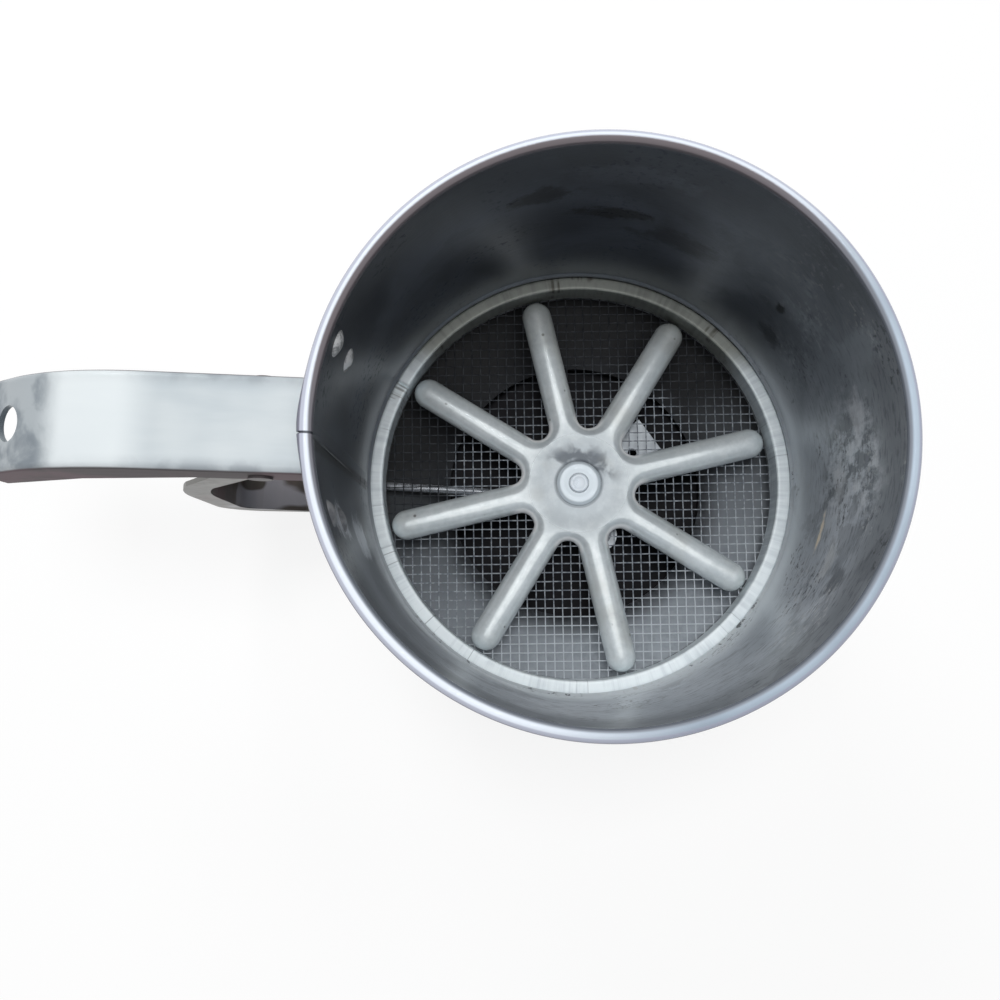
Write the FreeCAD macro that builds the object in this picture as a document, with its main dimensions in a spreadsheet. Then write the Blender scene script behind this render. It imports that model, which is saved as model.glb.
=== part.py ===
"""A squeeze-handle flour sifter: a tinplate can with a wire screen, an agitator star over the
screen, and a sprung trigger under the handle that swings the star through a crank and a link wire.
Lengths are millimetres and angles degrees. The origin is on the can's axis at its base, +Z is up
and the handle points along -X."""

import FreeCAD, Part
import math
import os

import Sketcher
from FreeCAD import Placement, Rotation, Vector

SIZES = (
    # The can and its rim
    ("can_radius", 50.0),
    ("sheet_wall", 0.5),
    ("can_height", 97.0),
    ("curl_radius", 1.25),
    ("curl_opening", 70.0),
    ("rim_wire_radius", 0.6),
    ("hem_height", 2.6),
    ("hem_fold", 1.0),
    ("ridge_depth", 0.6),
    ("ridge_half_height", 1.2),
    ("seam_width", 3.2),
    ("seam_rise", 0.25),
    # The screen and the two rings that hold it
    ("mesh_height", 17.2),
    ("mesh_thickness", 0.6),
    ("mesh_pitch", 5.0),
    ("mesh_gap", 3.9),
    ("mesh_turn", 1.9),
    ("ring_height", 25.0),
    ("ring_width", 3.1),
    ("ring_play", 0.2),
    ("ring_sheet", 0.5),
    ("clamp_thickness", 0.6),
    ("seat_play", 0.02),
    # The funnel in the base
    ("funnel_top", 8.0),
    ("funnel_flange", 2.6),
    ("funnel_sheet", 0.5),
    ("outlet_radius", 31.5),
    ("outlet_height", 4.6),
    ("spout_height", 3.3),
    # The agitator
    ("star_sheet", 0.8),
    ("star_gap", 0.54),
    ("star_turn", 14.6),
    ("arm_count", 8),
    ("arm_width", 7.1),
    ("rib_start", 11.5),
    ("notch_depth", 13.8),
    ("dome_radius", 5.1),
    ("dome_rise", 2.6),
    ("dome_flat", 0.35),
    ("shaft_radius", 2.0),
    ("neck_radius", 1.5),
    ("head_radius", 2.2),
    ("head_rise", 0.8),
    ("foot_head_radius", 2.8),
    ("bush_wall", 1.15),
    ("bush_flange_radius", 6.0),
    ("bush_flange", 0.4),
    ("bush_plate_thickness", 0.5),
    ("washer_radius", 4.6),
    ("washer_thickness", 0.4),
    ("face_play", 0.05),
    ("running_play", 0.05),
    ("crank_height", 12.5),
    ("crank_sheet", 1.2),
    ("crank_hub_radius", 6.0),
    ("crank_throw", 13.0),
    ("crank_start", -63.0),
    ("pin_lobe_radius", 4.0),
    ("spare_lobe_reach", 22.3),
    ("spare_lobe_width", 9.0),
    ("spare_lobe_turn", 37.0),
    ("spare_hole_throw", 16.06),
    ("spare_hole_turn", 32.8),
    ("spare_hole_radius", 1.1),
    # The link wire
    ("wire_radius", 1.0),
    ("link_height", 10.4),
    ("hook_reach", 54.5),
    ("joggle_reach", 21.0),
    ("joggle_side", 1.42),
    ("leg_bend", 2.0),
    ("joggle_bend", 14.0),
    ("hook_rise", 6.0),
    ("pin_rise", 4.6),
    ("hole_play", 0.06),
    ("slot_play", 0.5),
    ("clip_radius", 2.5),
    ("clip_thickness", 0.5),
    ("clip_lift", 0.7),
    # The bracket and its rivets
    ("bracket_sheet", 0.8),
    ("bracket_spread", 48.0),
    ("bracket_drop", 3.5),
    ("bracket_height", 21.5),
    ("rivet_spread", 17.5),
    ("rivet_edge", 3.5),
    ("rivet_row_gap", 12.0),
    ("rivet_radius", 1.2),
    ("rivet_head_radius", 2.5),
    ("rivet_head_rise", 0.9),
    ("rivet_head_lift", 0.07),
    # The handle
    ("handle_width", 17.0),
    ("handle_sheet", 1.0),
    ("handle_drop", 5.0),
    ("handle_rise", 6.0),
    ("strap_run", 44.0),
    ("end_bend", 45.0),
    ("bend_radius", 34.0),
    ("end_length", 27.0),
    ("flange_depth", 9.2),
    ("flange_reach", 22.0),
    ("bend_flange_depth", 16.2),
    ("end_flange_depth", 10.8),
    ("edge_round", 1.2),
    ("corner_round", 3.0),
    ("hanging_reach", 14.0),
    ("hanging_radius", 3.25),
    ("side_edge_share", 0.9),
    # The trigger
    ("pivot_reach", 10.0),
    ("pivot_drop", 4.2),
    ("pin_radius", 1.5),
    ("pin_head_radius", 2.2),
    ("pin_head_rise", 0.5),
    ("spacer_radius", 2.4),
    ("spacer_play", 0.1),
    ("side_play", 0.3),
    ("trigger_sheet", 1.0),
    ("trigger_depth", 5.5),
    ("finger_gap", 30.5),
    ("knee_radius", 46.7),
    ("knee_angle", 25.4),
    ("grip_top", 40.0),
    ("heel_radius", 10.0),
    ("foot_web_height", 12.4),
    ("foot_flange", 1.6),
    ("foot_start", 16.0),
    ("foot_gap", 1.3),
    ("ear_radius", 3.6),
    ("web_end_share", 0.78),
    # The spring and the tab that it stands on
    ("spring_reach", 11.0),
    ("spring_radius", 2.6),
    ("spring_wire", 0.4),
    ("spring_turns", 6),
    ("spring_seat", 0.1),
    ("tab_drop", 3.6),
    ("tab_sheet", 1.0),
    ("tab_reach", 15.0),
    # One overrun for every cut that passes through
    ("overrun", 5.0),
)

doc = FreeCAD.newDocument("flour_sifter")
sheet = doc.addObject("Spreadsheet::Sheet", "dims")
for row, (alias, number) in enumerate(SIZES, start=1):
    sheet.set(f"A{row}", alias)
    sheet.set(f"B{row}", str(number))
    sheet.setAlias(f"B{row}", alias)
doc.recompute()


class Size:
    """A size with its formula on the sheet and its present value."""

    def __init__(self, formula, value):
        self.formula = formula
        self.value = value

    def joined(self, sign, other, value):
        return Size(f"({self.formula} {sign} {sized(other).formula})", value)

    def __add__(self, other):
        return self.joined("+", other, self.value + sized(other).value)

    def __sub__(self, other):
        return self.joined("-", other, self.value - sized(other).value)

    def __mul__(self, other):
        return self.joined("*", other, self.value * sized(other).value)

    def __truediv__(self, other):
        return self.joined("/", other, self.value / sized(other).value)

    def __radd__(self, other):
        return sized(other) + self

    def __rsub__(self, other):
        return sized(other) - self

    def __rmul__(self, other):
        return sized(other) * self

    def __neg__(self):
        return Size(f"(0 - {self.formula})", -self.value)

    def __float__(self):
        return float(self.value)


def sized(value):
    """A plain ratio or zero as a Size."""
    return value if isinstance(value, Size) else Size(repr(value), float(value))


def sine(angle):
    return Size(f"sin({angle.formula})", math.sin(math.radians(angle.value)))


def cosine(angle):
    return Size(f"cos({angle.formula})", math.cos(math.radians(angle.value)))


def tangent(angle):
    return Size(f"tan({angle.formula})", math.tan(math.radians(angle.value)))


def root(value):
    return Size(f"sqrt({value.formula})", math.sqrt(value.value))


def arcsine(ratio):
    return Size(f"asin({ratio.formula})", math.degrees(math.asin(ratio.value)))


def arctangent(ratio):
    return Size(f"atan({ratio.formula})", math.degrees(math.atan(ratio.value)))


class Sheet:
    """The sheet's sizes by name."""


d = Sheet()
for alias, _ in SIZES:
    setattr(d, alias, Size(f"dims.{alias}", float(sheet.get(alias))))

parts = {}

# Places that several pieces share
wall_inner = d.can_radius - d.sheet_wall
curl_centre = wall_inner + d.curl_radius
curl_height = d.can_height - d.curl_radius
mesh_top = d.mesh_height + d.mesh_thickness
ring_outer = wall_inner - d.ring_play
ring_inner = ring_outer - d.ring_width
star_reach = ring_inner - d.star_gap
clamp_low = d.mesh_height - d.clamp_thickness
ridge_round = (d.ridge_half_height * d.ridge_half_height + d.ridge_depth * d.ridge_depth) / (
    2 * d.ridge_depth
)
star_low = mesh_top + d.bush_flange + d.washer_thickness + 2 * d.face_play
star_high = star_low + d.star_sheet
dome_sphere = (d.dome_radius * d.dome_radius + d.dome_rise * d.dome_rise) / (2 * d.dome_rise)
dome_top = star_high + d.dome_rise - d.dome_flat
crank_top = d.crank_height + d.crank_sheet
bush_low = crank_top + d.washer_thickness + 2 * d.face_play
crank_pin_x = d.crank_throw * cosine(d.crank_start)
crank_pin_y = d.crank_throw * sine(d.crank_start)
pin_sweep = d.crank_throw + crank_pin_y
bracket_inner = d.can_radius + d.face_play
bracket_outer = bracket_inner + d.bracket_sheet
bracket_high = d.can_height - d.bracket_drop
bracket_low = bracket_high - d.bracket_height
rivet_high = bracket_high - d.rivet_edge
rivet_low = rivet_high - d.rivet_row_gap
handle_inner_half = d.handle_width / 2 - d.handle_sheet
trigger_half = handle_inner_half - d.side_play
trigger_inner_half = trigger_half - d.trigger_sheet
web_foot_z = d.can_height - d.handle_drop
pivot_x = -(d.can_radius + d.pivot_reach)
pivot_z = (
    web_foot_z
    + d.pivot_reach * tangent(d.handle_rise)
    - d.handle_sheet / cosine(d.handle_rise)
    - d.pivot_drop
)


def bind(feature, **sizes):
    """Ties a feature's properties to the sheet."""
    for name, value in sizes.items():
        feature.setExpression(name, sized(value).formula)


def place(feature, x=0, y=0, z=0, axis=None, angle=None):
    """Puts a feature at a point, turned about an axis, with both tied to the sheet."""
    if axis is not None:
        feature.Placement = Placement(Vector(0, 0, 0), Rotation(axis, float(angle)))
    for name, value in (("x", x), ("y", y), ("z", z)):
        feature.setExpression(f".Placement.Base.{name}", sized(value).formula)
    if isinstance(angle, Size):
        feature.setExpression(".Placement.Rotation.Angle", angle.formula)


def new_body(label):
    body = doc.addObject("PartDesign::Body", label)
    body.Label = label
    parts[label] = body
    return body


def arc_between(start, end, radius, turn):
    """The arc of a circle from start to end, left-handed where turn is 1 and right-handed where -1."""
    chord = end - start
    half = chord.Length / 2
    rise = math.sqrt(max(radius * radius - half * half, 0))
    normal = Vector(-chord.y, chord.x, 0)
    normal.normalize()
    centre = (start + end) * 0.5 + normal * (rise * turn)
    first, last = (start, end) if turn > 0 else (end, start)
    first_angle = math.atan2(first.y - centre.y, first.x - centre.x)
    last_angle = math.atan2(last.y - centre.y, last.x - centre.x)
    return Part.ArcOfCircle(Part.Circle(centre, Vector(0, 0, 1), radius), first_angle, last_angle)


def outline(body, name, role, corners):
    """A closed sketch on one of the body's own planes. Each corner is its two sizes, and a corner
    that an arc runs to also has the arc's radius and its turn, 1 to the left or -1 to the right."""
    sketch = body.newObject("Sketcher::SketchObject", name)
    plane = [f for f in body.Origin.OriginFeatures if f.Role == role][0]
    sketch.AttachmentSupport = [(plane, "")]
    sketch.MapMode = "FlatFace"
    points = [Vector(float(c[0]), float(c[1]), 0) for c in corners]
    joints = []
    for index, corner in enumerate(corners):
        start, end = points[index - 1], points[index]
        if len(corner) == 4:
            radius, turn = corner[2], corner[3]
            edge = sketch.addGeometry(arc_between(start, end, float(radius), turn), False)
            rule = sketch.addConstraint(Sketcher.Constraint("Radius", edge, float(radius)))
            sketch.setExpression(f"Constraints[{rule}]", radius.formula)
            joints.append((edge, 1, 2) if turn > 0 else (edge, 2, 1))
        else:
            edge = sketch.addGeometry(Part.LineSegment(start, end), False)
            joints.append((edge, 1, 2))
    for index, corner in enumerate(corners):
        edge, _, end = joints[index]
        following, start, _ = joints[(index + 1) % len(joints)]
        sketch.addConstraint(Sketcher.Constraint("Coincident", edge, end, following, start))
        for direction, value in (("DistanceX", corner[0]), ("DistanceY", corner[1])):
            rule = sketch.addConstraint(
                Sketcher.Constraint(direction, -1, 1, edge, end, float(value))
            )
            sketch.setExpression(f"Constraints[{rule}]", sized(value).formula)
    doc.recompute()
    return sketch


def revolve(body, name, corners):
    """A full turn about Z of an outline given as radius and height."""
    sketch = outline(body, name + "_outline", "XZ_Plane", corners)
    feature = body.newObject("PartDesign::Revolution", name)
    feature.Profile = sketch
    feature.ReferenceAxis = (sketch, ["V_Axis"])
    feature.Angle = 360
    doc.recompute()
    return feature


def side_pad(body, name, corners, width, kind="PartDesign::Pad"):
    """A pad or pocket of a side view given as X and Z, as wide as asked about the XZ plane."""
    sketch = outline(body, name + "_outline", "XZ_Plane", corners)
    feature = body.newObject(kind, name)
    feature.Profile = sketch
    feature.SideType = "Symmetric"
    bind(feature, Length=width)
    doc.recompute()
    return feature


def rounded(body, name, base, edges, radius):
    """A fillet along the edges named."""
    feature = body.newObject("PartDesign::Fillet", name)
    feature.Base = (base, edges)
    bind(feature, Radius=radius)
    doc.recompute()
    return feature


def round_bar(body, kind, name, radius, length, **where):
    """An added or cut cylinder."""
    feature = body.newObject("PartDesign::" + kind + "Cylinder", name)
    bind(feature, Radius=radius, Height=length)
    place(feature, **where)
    doc.recompute()
    return feature


def block(body, kind, name, length, width, height, **where):
    """An added or cut box."""
    feature = body.newObject("PartDesign::" + kind + "Box", name)
    bind(feature, Length=length, Width=width, Height=height)
    place(feature, **where)
    doc.recompute()
    return feature


def ring(label, inner, outer, low, thickness):
    """A flat ring, such as a washer."""
    body = new_body(label)
    revolve(
        body,
        label + "_turn",
        [(inner, low), (outer, low), (outer, low + thickness), (inner, low + thickness)],
    )
    return body


def own_shape(label, shape):
    """A piece that is shaped with Part's own functions from the sheet's sizes."""
    feature = doc.addObject("Part::Feature", label)
    feature.Label = label
    feature.Shape = shape
    parts[label] = feature
    return feature


AXIS_Y = Vector(0, 1, 0)
AXIS_Z = Vector(0, 0, 1)
ALONG_Y = {"axis": Vector(1, 0, 0), "angle": -90}


def rivet_places():
    """Each rivet's turn about Z and its height."""
    for side in (1, -1):
        for height in (rivet_low, rivet_high):
            yield sized(180) + side * d.rivet_spread, height


def cut_rivet_holes(body):
    for index, (turn, height) in enumerate(rivet_places()):
        start = d.can_radius - d.overrun
        hole = body.newObject("PartDesign::SubtractiveCylinder", f"{body.Label}_rivet_hole_{index}")
        bind(hole, Radius=d.rivet_radius + d.face_play, Height=2 * d.overrun)
        across = Rotation(AXIS_Z, float(turn)) * Rotation(AXIS_Y, 90)
        hole.Placement = Placement(Vector(0, 0, 0), across)
        place(hole, start * cosine(turn), start * sine(turn), height)
    doc.recompute()


def link_side_at(reach):
    """How far the link's straight run has stepped to -Y where it is this far from the axis."""
    return d.joggle_side * (d.hook_reach - reach) / (d.hook_reach - d.joggle_reach)


def ridge_seat(play):
    """From the edge of a piece, with this play to the wall, to the middle of the ridge that grips it."""
    depth = ridge_round + play - d.ridge_depth
    return d.seat_play + root(ridge_round * ridge_round - depth * depth)


def make_can_body():
    """The wall with its curled rim, folded hem and the two pressed ridges that grip the screen."""
    body = new_body("can_body")
    curl_inside = d.curl_radius - d.sheet_wall
    curl_end_x = curl_centre + d.curl_radius * sine(d.curl_opening - 90)
    curl_end_z = curl_height - d.curl_radius * cosine(d.curl_opening - 90)
    curl_in_x = curl_centre + curl_inside * sine(d.curl_opening - 90)
    curl_in_z = curl_height - curl_inside * cosine(d.curl_opening - 90)
    hem_outer = d.can_radius + d.hem_fold
    upper = d.ring_height + ridge_seat(d.ring_play)
    lower = clamp_low - ridge_seat(d.ring_play)
    under_funnel = d.funnel_top - d.funnel_flange - ridge_seat(d.face_play)
    half = d.ridge_half_height
    corners = [(wall_inner, 0), (hem_outer, 0), (hem_outer, d.hem_height), (d.can_radius, d.hem_height)]
    for middle in (under_funnel, lower, upper):
        corners.append((d.can_radius, middle - half))
        corners.append((d.can_radius, middle + half, ridge_round, -1))
    corners.append((d.can_radius, curl_height))
    corners.append((curl_centre, curl_height + curl_inside, curl_inside, -1))
    corners.append((curl_centre + curl_inside, curl_height, curl_inside, -1))
    corners.append((curl_in_x, curl_in_z, curl_inside, -1))
    corners.append((curl_end_x, curl_end_z))
    corners.append((curl_centre + d.curl_radius, curl_height, d.curl_radius, 1))
    corners.append((curl_centre, d.can_height, d.curl_radius, 1))
    corners.append((wall_inner, curl_height, d.curl_radius, 1))
    for middle in (upper, lower, under_funnel):
        corners.append((wall_inner, middle + half))
        corners.append((wall_inner, middle - half, ridge_round, 1))
    revolve(body, "can_wall", corners)
    seam_low = upper + half
    block(
        body,
        "Additive",
        "side_seam",
        d.seam_rise + d.sheet_wall / 2,
        d.seam_width,
        curl_height - d.curl_radius - seam_low,
        x=-(wall_inner + d.sheet_wall / 2),
        y=-(d.seam_width / 2),
        z=seam_low,
    )
    slot_half = d.wire_radius + d.slot_play
    block(
        body,
        "Subtractive",
        "link_slot",
        2 * d.overrun,
        2 * slot_half + pin_sweep,
        2 * slot_half,
        x=-(d.can_radius + d.overrun),
        y=-(slot_half + pin_sweep) - link_side_at(d.can_radius),
        z=d.link_height - slot_half,
    )
    cut_rivet_holes(body)


def make_rim_wire():
    torus = doc.addObject("Part::Torus", "rim_wire")
    torus.Label = "rim_wire"
    bind(torus, Radius1=curl_centre, Radius2=d.rim_wire_radius)
    place(torus, z=curl_height)
    parts["rim_wire"] = torus


def make_screen_ring():
    """The bright ring over the screen: a channel that opens towards the wall."""
    body = new_body("screen_ring")
    skirt = ring_inner + d.ring_sheet
    top_under = d.ring_height - d.ring_sheet
    foot_over = mesh_top + d.ring_sheet
    revolve(
        body,
        "ring_turn",
        [
            (ring_inner, mesh_top),
            (ring_outer, mesh_top),
            (ring_outer, foot_over),
            (skirt, foot_over),
            (skirt, top_under),
            (ring_outer, top_under),
            (ring_outer, d.ring_height),
            (ring_inner, d.ring_height),
        ],
    )


def make_mesh_screen():
    """The wire cloth as one holed face, its wires a little turned from the handle's line."""
    low = float(d.mesh_height)
    edge = Part.Wire(Part.makeCircle(float(ring_outer - d.ring_play), Vector(0, 0, low)))
    bore = Part.Wire(
        Part.makeCircle(float(d.shaft_radius + d.running_play + d.bush_wall), Vector(0, 0, low))
    )
    pitch = float(d.mesh_pitch)
    half = float(d.mesh_gap) / 2
    corner = half * math.sqrt(2)
    turn = Rotation(AXIS_Z, float(d.mesh_turn))
    count = int(float(ring_inner) / pitch) + 1
    gaps = []
    for row in range(-count, count):
        for column in range(-count, count):
            middle = Vector((column + 0.5) * pitch, (row + 0.5) * pitch, low)
            reach = math.hypot(middle.x, middle.y)
            if reach + corner > float(ring_inner) or reach - corner < float(d.bush_flange_radius):
                continue
            square = [
                turn.multVec(middle + Vector(x * half, y * half, 0))
                for x, y in ((-1, -1), (1, -1), (1, 1), (-1, 1), (-1, -1))
            ]
            gaps.append(Part.makePolygon(square))
    print("mesh gaps", len(gaps))
    face = Part.makeFace([edge, bore] + gaps, "Part::FaceMakerBullseye")
    own_shape("mesh_screen", face.extrude(Vector(0, 0, float(d.mesh_thickness))))


def make_centre_bush():
    body = new_body("centre_bush")
    inner = d.shaft_radius + d.running_play
    outer = inner + d.bush_wall - d.seat_play
    revolve(
        body,
        "bush_turn",
        [
            (inner, bush_low),
            (outer, bush_low),
            (outer, mesh_top),
            (d.bush_flange_radius, mesh_top),
            (d.bush_flange_radius, mesh_top + d.bush_flange),
            (inner, mesh_top + d.bush_flange),
        ],
    )


def make_base_funnel():
    """The cone under the screen that gathers what falls through, with its fixing flange and spout."""
    body = new_body("base_funnel")
    outer = wall_inner - d.face_play
    inner = outer - d.funnel_sheet
    spout_outer = d.outlet_radius + d.funnel_sheet
    revolve(
        body,
        "funnel_turn",
        [
            (outer, d.funnel_top - d.funnel_flange),
            (outer, d.funnel_top),
            (inner, d.funnel_top),
            (d.outlet_radius, d.outlet_height),
            (d.outlet_radius, d.spout_height),
            (spout_outer, d.spout_height),
            (spout_outer, d.outlet_height - d.funnel_sheet),
            (inner, d.funnel_top - 1.5 * d.funnel_sheet),
            (inner, d.funnel_top - d.funnel_flange),
        ],
    )


def hollow_arm(radius, low, start, tip):
    """A half-round bar along +X with ball ends, its flat side down."""
    bar = Part.makeCylinder(radius, tip - start, Vector(start, 0, low), Vector(1, 0, 0))
    ball = Part.makeSphere(radius, Vector(tip, 0, low))
    inner_ball = Part.makeSphere(radius, Vector(start, 0, low))
    return bar.fuse([ball, inner_ball])


def make_agitator_star():
    """The pressed star: a flat hub with a dome and hollow half-round arms with round tips."""
    low, high = float(star_low), float(star_high)
    thick = float(d.star_sheet)
    arm = float(d.arm_width) / 2
    count = int(float(d.arm_count))
    half_step = math.pi / count
    notch_middle = (float(d.notch_depth) - arm) / (1 - math.sin(half_step))
    notch = notch_middle - float(d.notch_depth)
    tip = float(star_reach) - arm
    start = float(d.rib_start)
    hub = Part.makeCylinder(notch_middle, thick, Vector(0, 0, low))
    outer_arms = []
    inner_arms = []
    notches = []
    for index in range(count):
        turn = float(d.star_turn) + index * 360 / count
        for radius, kept in ((arm, outer_arms), (arm - thick, inner_arms)):
            bar = hollow_arm(radius, low, start, tip)
            bar.rotate(Vector(0, 0, 0), AXIS_Z, turn)
            kept.append(bar)
        angle = math.radians(turn) + half_step
        middle = Vector(notch_middle * math.cos(angle), notch_middle * math.sin(angle), low - thick)
        notches.append(Part.makeCylinder(notch, 3 * thick, middle))
    sphere = float(dome_sphere)
    centre = Vector(0, 0, high + float(d.dome_rise) - sphere)
    dome = Part.makeSphere(sphere, centre)
    hollow = Part.makeSphere(sphere - thick, centre)
    reach = float(star_reach) * 2
    top = float(dome_top)
    above = Part.makeBox(reach, reach, reach, Vector(-reach / 2, -reach / 2, low))
    arms = outer_arms[0].fuse(outer_arms[1:]).common(above)
    dome_room = Part.makeCylinder(float(d.dome_radius) + thick, top - low, Vector(0, 0, low))
    dome = dome.common(dome_room)
    solid = hub.cut(notches).fuse([arms, dome])
    solid = solid.cut(inner_arms + [hollow])
    neck_hole = Part.makeCylinder(float(d.neck_radius + d.seat_play), reach, Vector(0, 0, low))
    solid = solid.cut(neck_hole)
    own_shape("agitator_star", solid.removeSplitter())


def make_agitator_shaft():
    """The shaft with a neck and a closed rivet head at each end."""
    body = new_body("agitator_shaft")
    inner_sphere = dome_sphere - d.star_sheet
    dome_centre = star_high + d.dome_rise - dome_sphere
    shoulder = dome_centre + inner_sphere * cosine(arcsine(d.shaft_radius / inner_sphere)) - d.seat_play
    head_low = dome_top + d.seat_play
    foot_high = d.crank_height - d.seat_play
    revolve(
        body,
        "shaft_turn",
        [
            (0, foot_high - d.head_rise),
            (d.foot_head_radius, foot_high - d.head_rise),
            (d.foot_head_radius, foot_high),
            (d.neck_radius, foot_high),
            (d.neck_radius, crank_top),
            (d.shaft_radius, crank_top),
            (d.shaft_radius, shoulder),
            (d.neck_radius, shoulder),
            (d.neck_radius, head_low),
            (d.head_radius, head_low),
            (d.head_radius, head_low + d.head_rise / 2),
            (d.head_radius / 2, head_low + d.head_rise),
            (0, head_low + d.head_rise),
        ],
    )


def make_crank_plate():
    """The flat crank: a hub, a round lobe for the link's pin and a square lobe with a spare hole."""
    body = new_body("crank_plate")
    round_bar(body, "Additive", "crank_hub", d.crank_hub_radius, d.crank_sheet, z=d.crank_height)
    for name, turn, reach, width in (
        ("pin_lobe", d.crank_start, d.crank_throw, 2 * d.pin_lobe_radius),
        ("spare_lobe", d.spare_lobe_turn, d.spare_lobe_reach, d.spare_lobe_width),
    ):
        block(
            body,
            "Additive",
            name,
            reach,
            width,
            d.crank_sheet,
            x=sine(turn) * width / 2,
            y=-(cosine(turn) * width / 2),
            z=d.crank_height,
            axis=AXIS_Z,
            angle=turn,
        )
    round_bar(
        body,
        "Additive",
        "pin_lobe_end",
        d.pin_lobe_radius,
        d.crank_sheet,
        x=crank_pin_x,
        y=crank_pin_y,
        z=d.crank_height,
    )
    spare_x = d.spare_hole_throw * cosine(d.spare_hole_turn)
    spare_y = d.spare_hole_throw * sine(d.spare_hole_turn)
    for name, radius, x, y in (
        ("neck_hole", d.neck_radius + d.seat_play, sized(0), sized(0)),
        ("pin_hole", d.wire_radius + d.hole_play, crank_pin_x, crank_pin_y),
        ("spare_hole", d.spare_hole_radius, spare_x, spare_y),
    ):
        round_bar(
            body, "Subtractive", name, radius, 2 * d.overrun, x=x, y=y, z=d.crank_height - d.overrun
        )


def bent_path(points, radii):
    """A wire of straight runs joined by tangent arcs."""
    edges = []
    start = points[0]
    for before, corner, after, radius in zip(points, points[1:], points[2:], radii):
        arriving = (corner - before).normalize()
        leaving = (after - corner).normalize()
        turn = arriving.getAngle(leaving)
        step = radius * math.tan(turn / 2)
        first = corner - arriving * step
        last = corner + leaving * step
        inward = (leaving - arriving).normalize()
        middle = corner + inward * (radius / math.cos(turn / 2) - radius)
        edges.append(Part.LineSegment(start, first).toShape())
        edges.append(Part.Arc(first, middle, last).toShape())
        start = last
    edges.append(Part.LineSegment(start, points[-1]).toShape())
    return Part.Wire(edges)


def swept_round(path, start, direction, radius):
    """A round bar along a path."""
    section = Part.Wire(Part.makeCircle(radius, start, direction))
    sweep = Part.BRepOffsetAPI.MakePipeShell(path)
    sweep.add(section)
    sweep.build()
    sweep.makeSolid()
    return sweep.shape()


def make_link_wire():
    """The link: a hook up through the trigger's foot, a run into the can and a pin up into the crank."""
    z = float(d.link_height)
    hook_top = Vector(-float(d.hook_reach), 0, z + float(d.hook_rise))
    hook = Vector(-float(d.hook_reach), 0, z)
    joggle = Vector(-float(d.joggle_reach), -float(d.joggle_side), z)
    pin = Vector(float(crank_pin_x), float(crank_pin_y), z)
    pin_top = pin + Vector(0, 0, float(d.pin_rise))
    bend = float(d.leg_bend)
    path = bent_path([hook_top, hook, joggle, pin, pin_top], [bend, float(d.joggle_bend), bend])
    solid = swept_round(path, hook_top, Vector(0, 0, -1), float(d.wire_radius))
    full = math.pi * float(d.wire_radius) ** 2 * path.Length
    print("link volume share", round(solid.Volume / full, 4))
    own_shape("link_wire", solid)


def make_link_clips():
    """The two push-on clips that keep the link's ends in their holes."""
    clips = []
    inner = float(d.wire_radius + d.seat_play)
    foot_top = float(d.foot_web_height + d.trigger_sheet)
    for x, y, low in (
        (-float(d.hook_reach), 0, foot_top + float(d.clip_lift)),
        (float(crank_pin_x), float(crank_pin_y), float(crank_top + d.face_play)),
    ):
        base = Vector(x, y, low)
        thick = float(d.clip_thickness)
        disc = Part.makeCylinder(float(d.clip_radius), thick, base)
        clips.append(disc.cut(Part.makeCylinder(inner, thick, base)))
    own_shape("link_clips", Part.makeCompound(clips))


def make_handle_bracket():
    """The curved plate that spreads the handle's load over the can."""
    body = new_body("handle_bracket")
    sketch = outline(
        body,
        "bracket_outline",
        "XZ_Plane",
        [
            (-bracket_inner, bracket_low),
            (-bracket_outer, bracket_low),
            (-bracket_outer, bracket_high),
            (-bracket_inner, bracket_high),
        ],
    )
    feature = body.newObject("PartDesign::Revolution", "bracket_turn")
    feature.Profile = sketch
    feature.ReferenceAxis = (sketch, ["V_Axis"])
    feature.Midplane = True
    bind(feature, Angle=d.bracket_spread)
    doc.recompute()
    cut_rivet_holes(body)


def rivet_shape():
    """One rivet along +X from inside the wall to outside the bracket."""
    inside = float(wall_inner - d.rivet_head_lift)
    outside = float(bracket_outer)
    head, rise = float(d.rivet_head_radius), float(d.rivet_head_rise)
    shank = float(d.rivet_radius)
    crown = (head * head + rise * rise) / (2 * rise)
    slope = crown * math.sin(math.asin(head / crown) / 2)
    drop = crown - math.sqrt(crown * crown - slope * slope)
    points = [
        Vector(inside - rise, 0, 0),
        Vector(inside, 0, head),
        Vector(inside, 0, shank),
        Vector(outside, 0, shank),
        Vector(outside, 0, head),
        Vector(outside + rise, 0, 0),
    ]
    inner_crown = Vector(inside - rise + drop, 0, slope)
    outer_crown = Vector(outside + rise - drop, 0, slope)
    edges = [
        Part.Arc(points[0], inner_crown, points[1]).toShape(),
        Part.makePolygon(points[1:5]),
        Part.Arc(points[4], outer_crown, points[5]).toShape(),
        Part.LineSegment(points[5], points[0]).toShape(),
    ]
    flat = []
    for edge in edges:
        flat.extend(edge.Edges)
    face = Part.Face(Part.Wire(flat))
    return face.revolve(Vector(0, 0, 0), Vector(1, 0, 0), 360)


def make_handle_rivets():
    rivets = []
    for turn, height in rivet_places():
        rivet = rivet_shape()
        rivet.rotate(Vector(0, 0, 0), AXIS_Z, float(turn))
        rivet.translate(Vector(0, 0, float(height)))
        rivets.append(rivet)
    own_shape("handle_rivets", Part.makeCompound(rivets))


def edges_where(shape, test):
    """The names of the shape's edges whose middle passes a test."""
    names = []
    for index, edge in enumerate(shape.Edges, start=1):
        middle = edge.valueAt((edge.FirstParameter + edge.LastParameter) / 2)
        if test(middle):
            names.append(f"Edge{index}")
    return names


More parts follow.
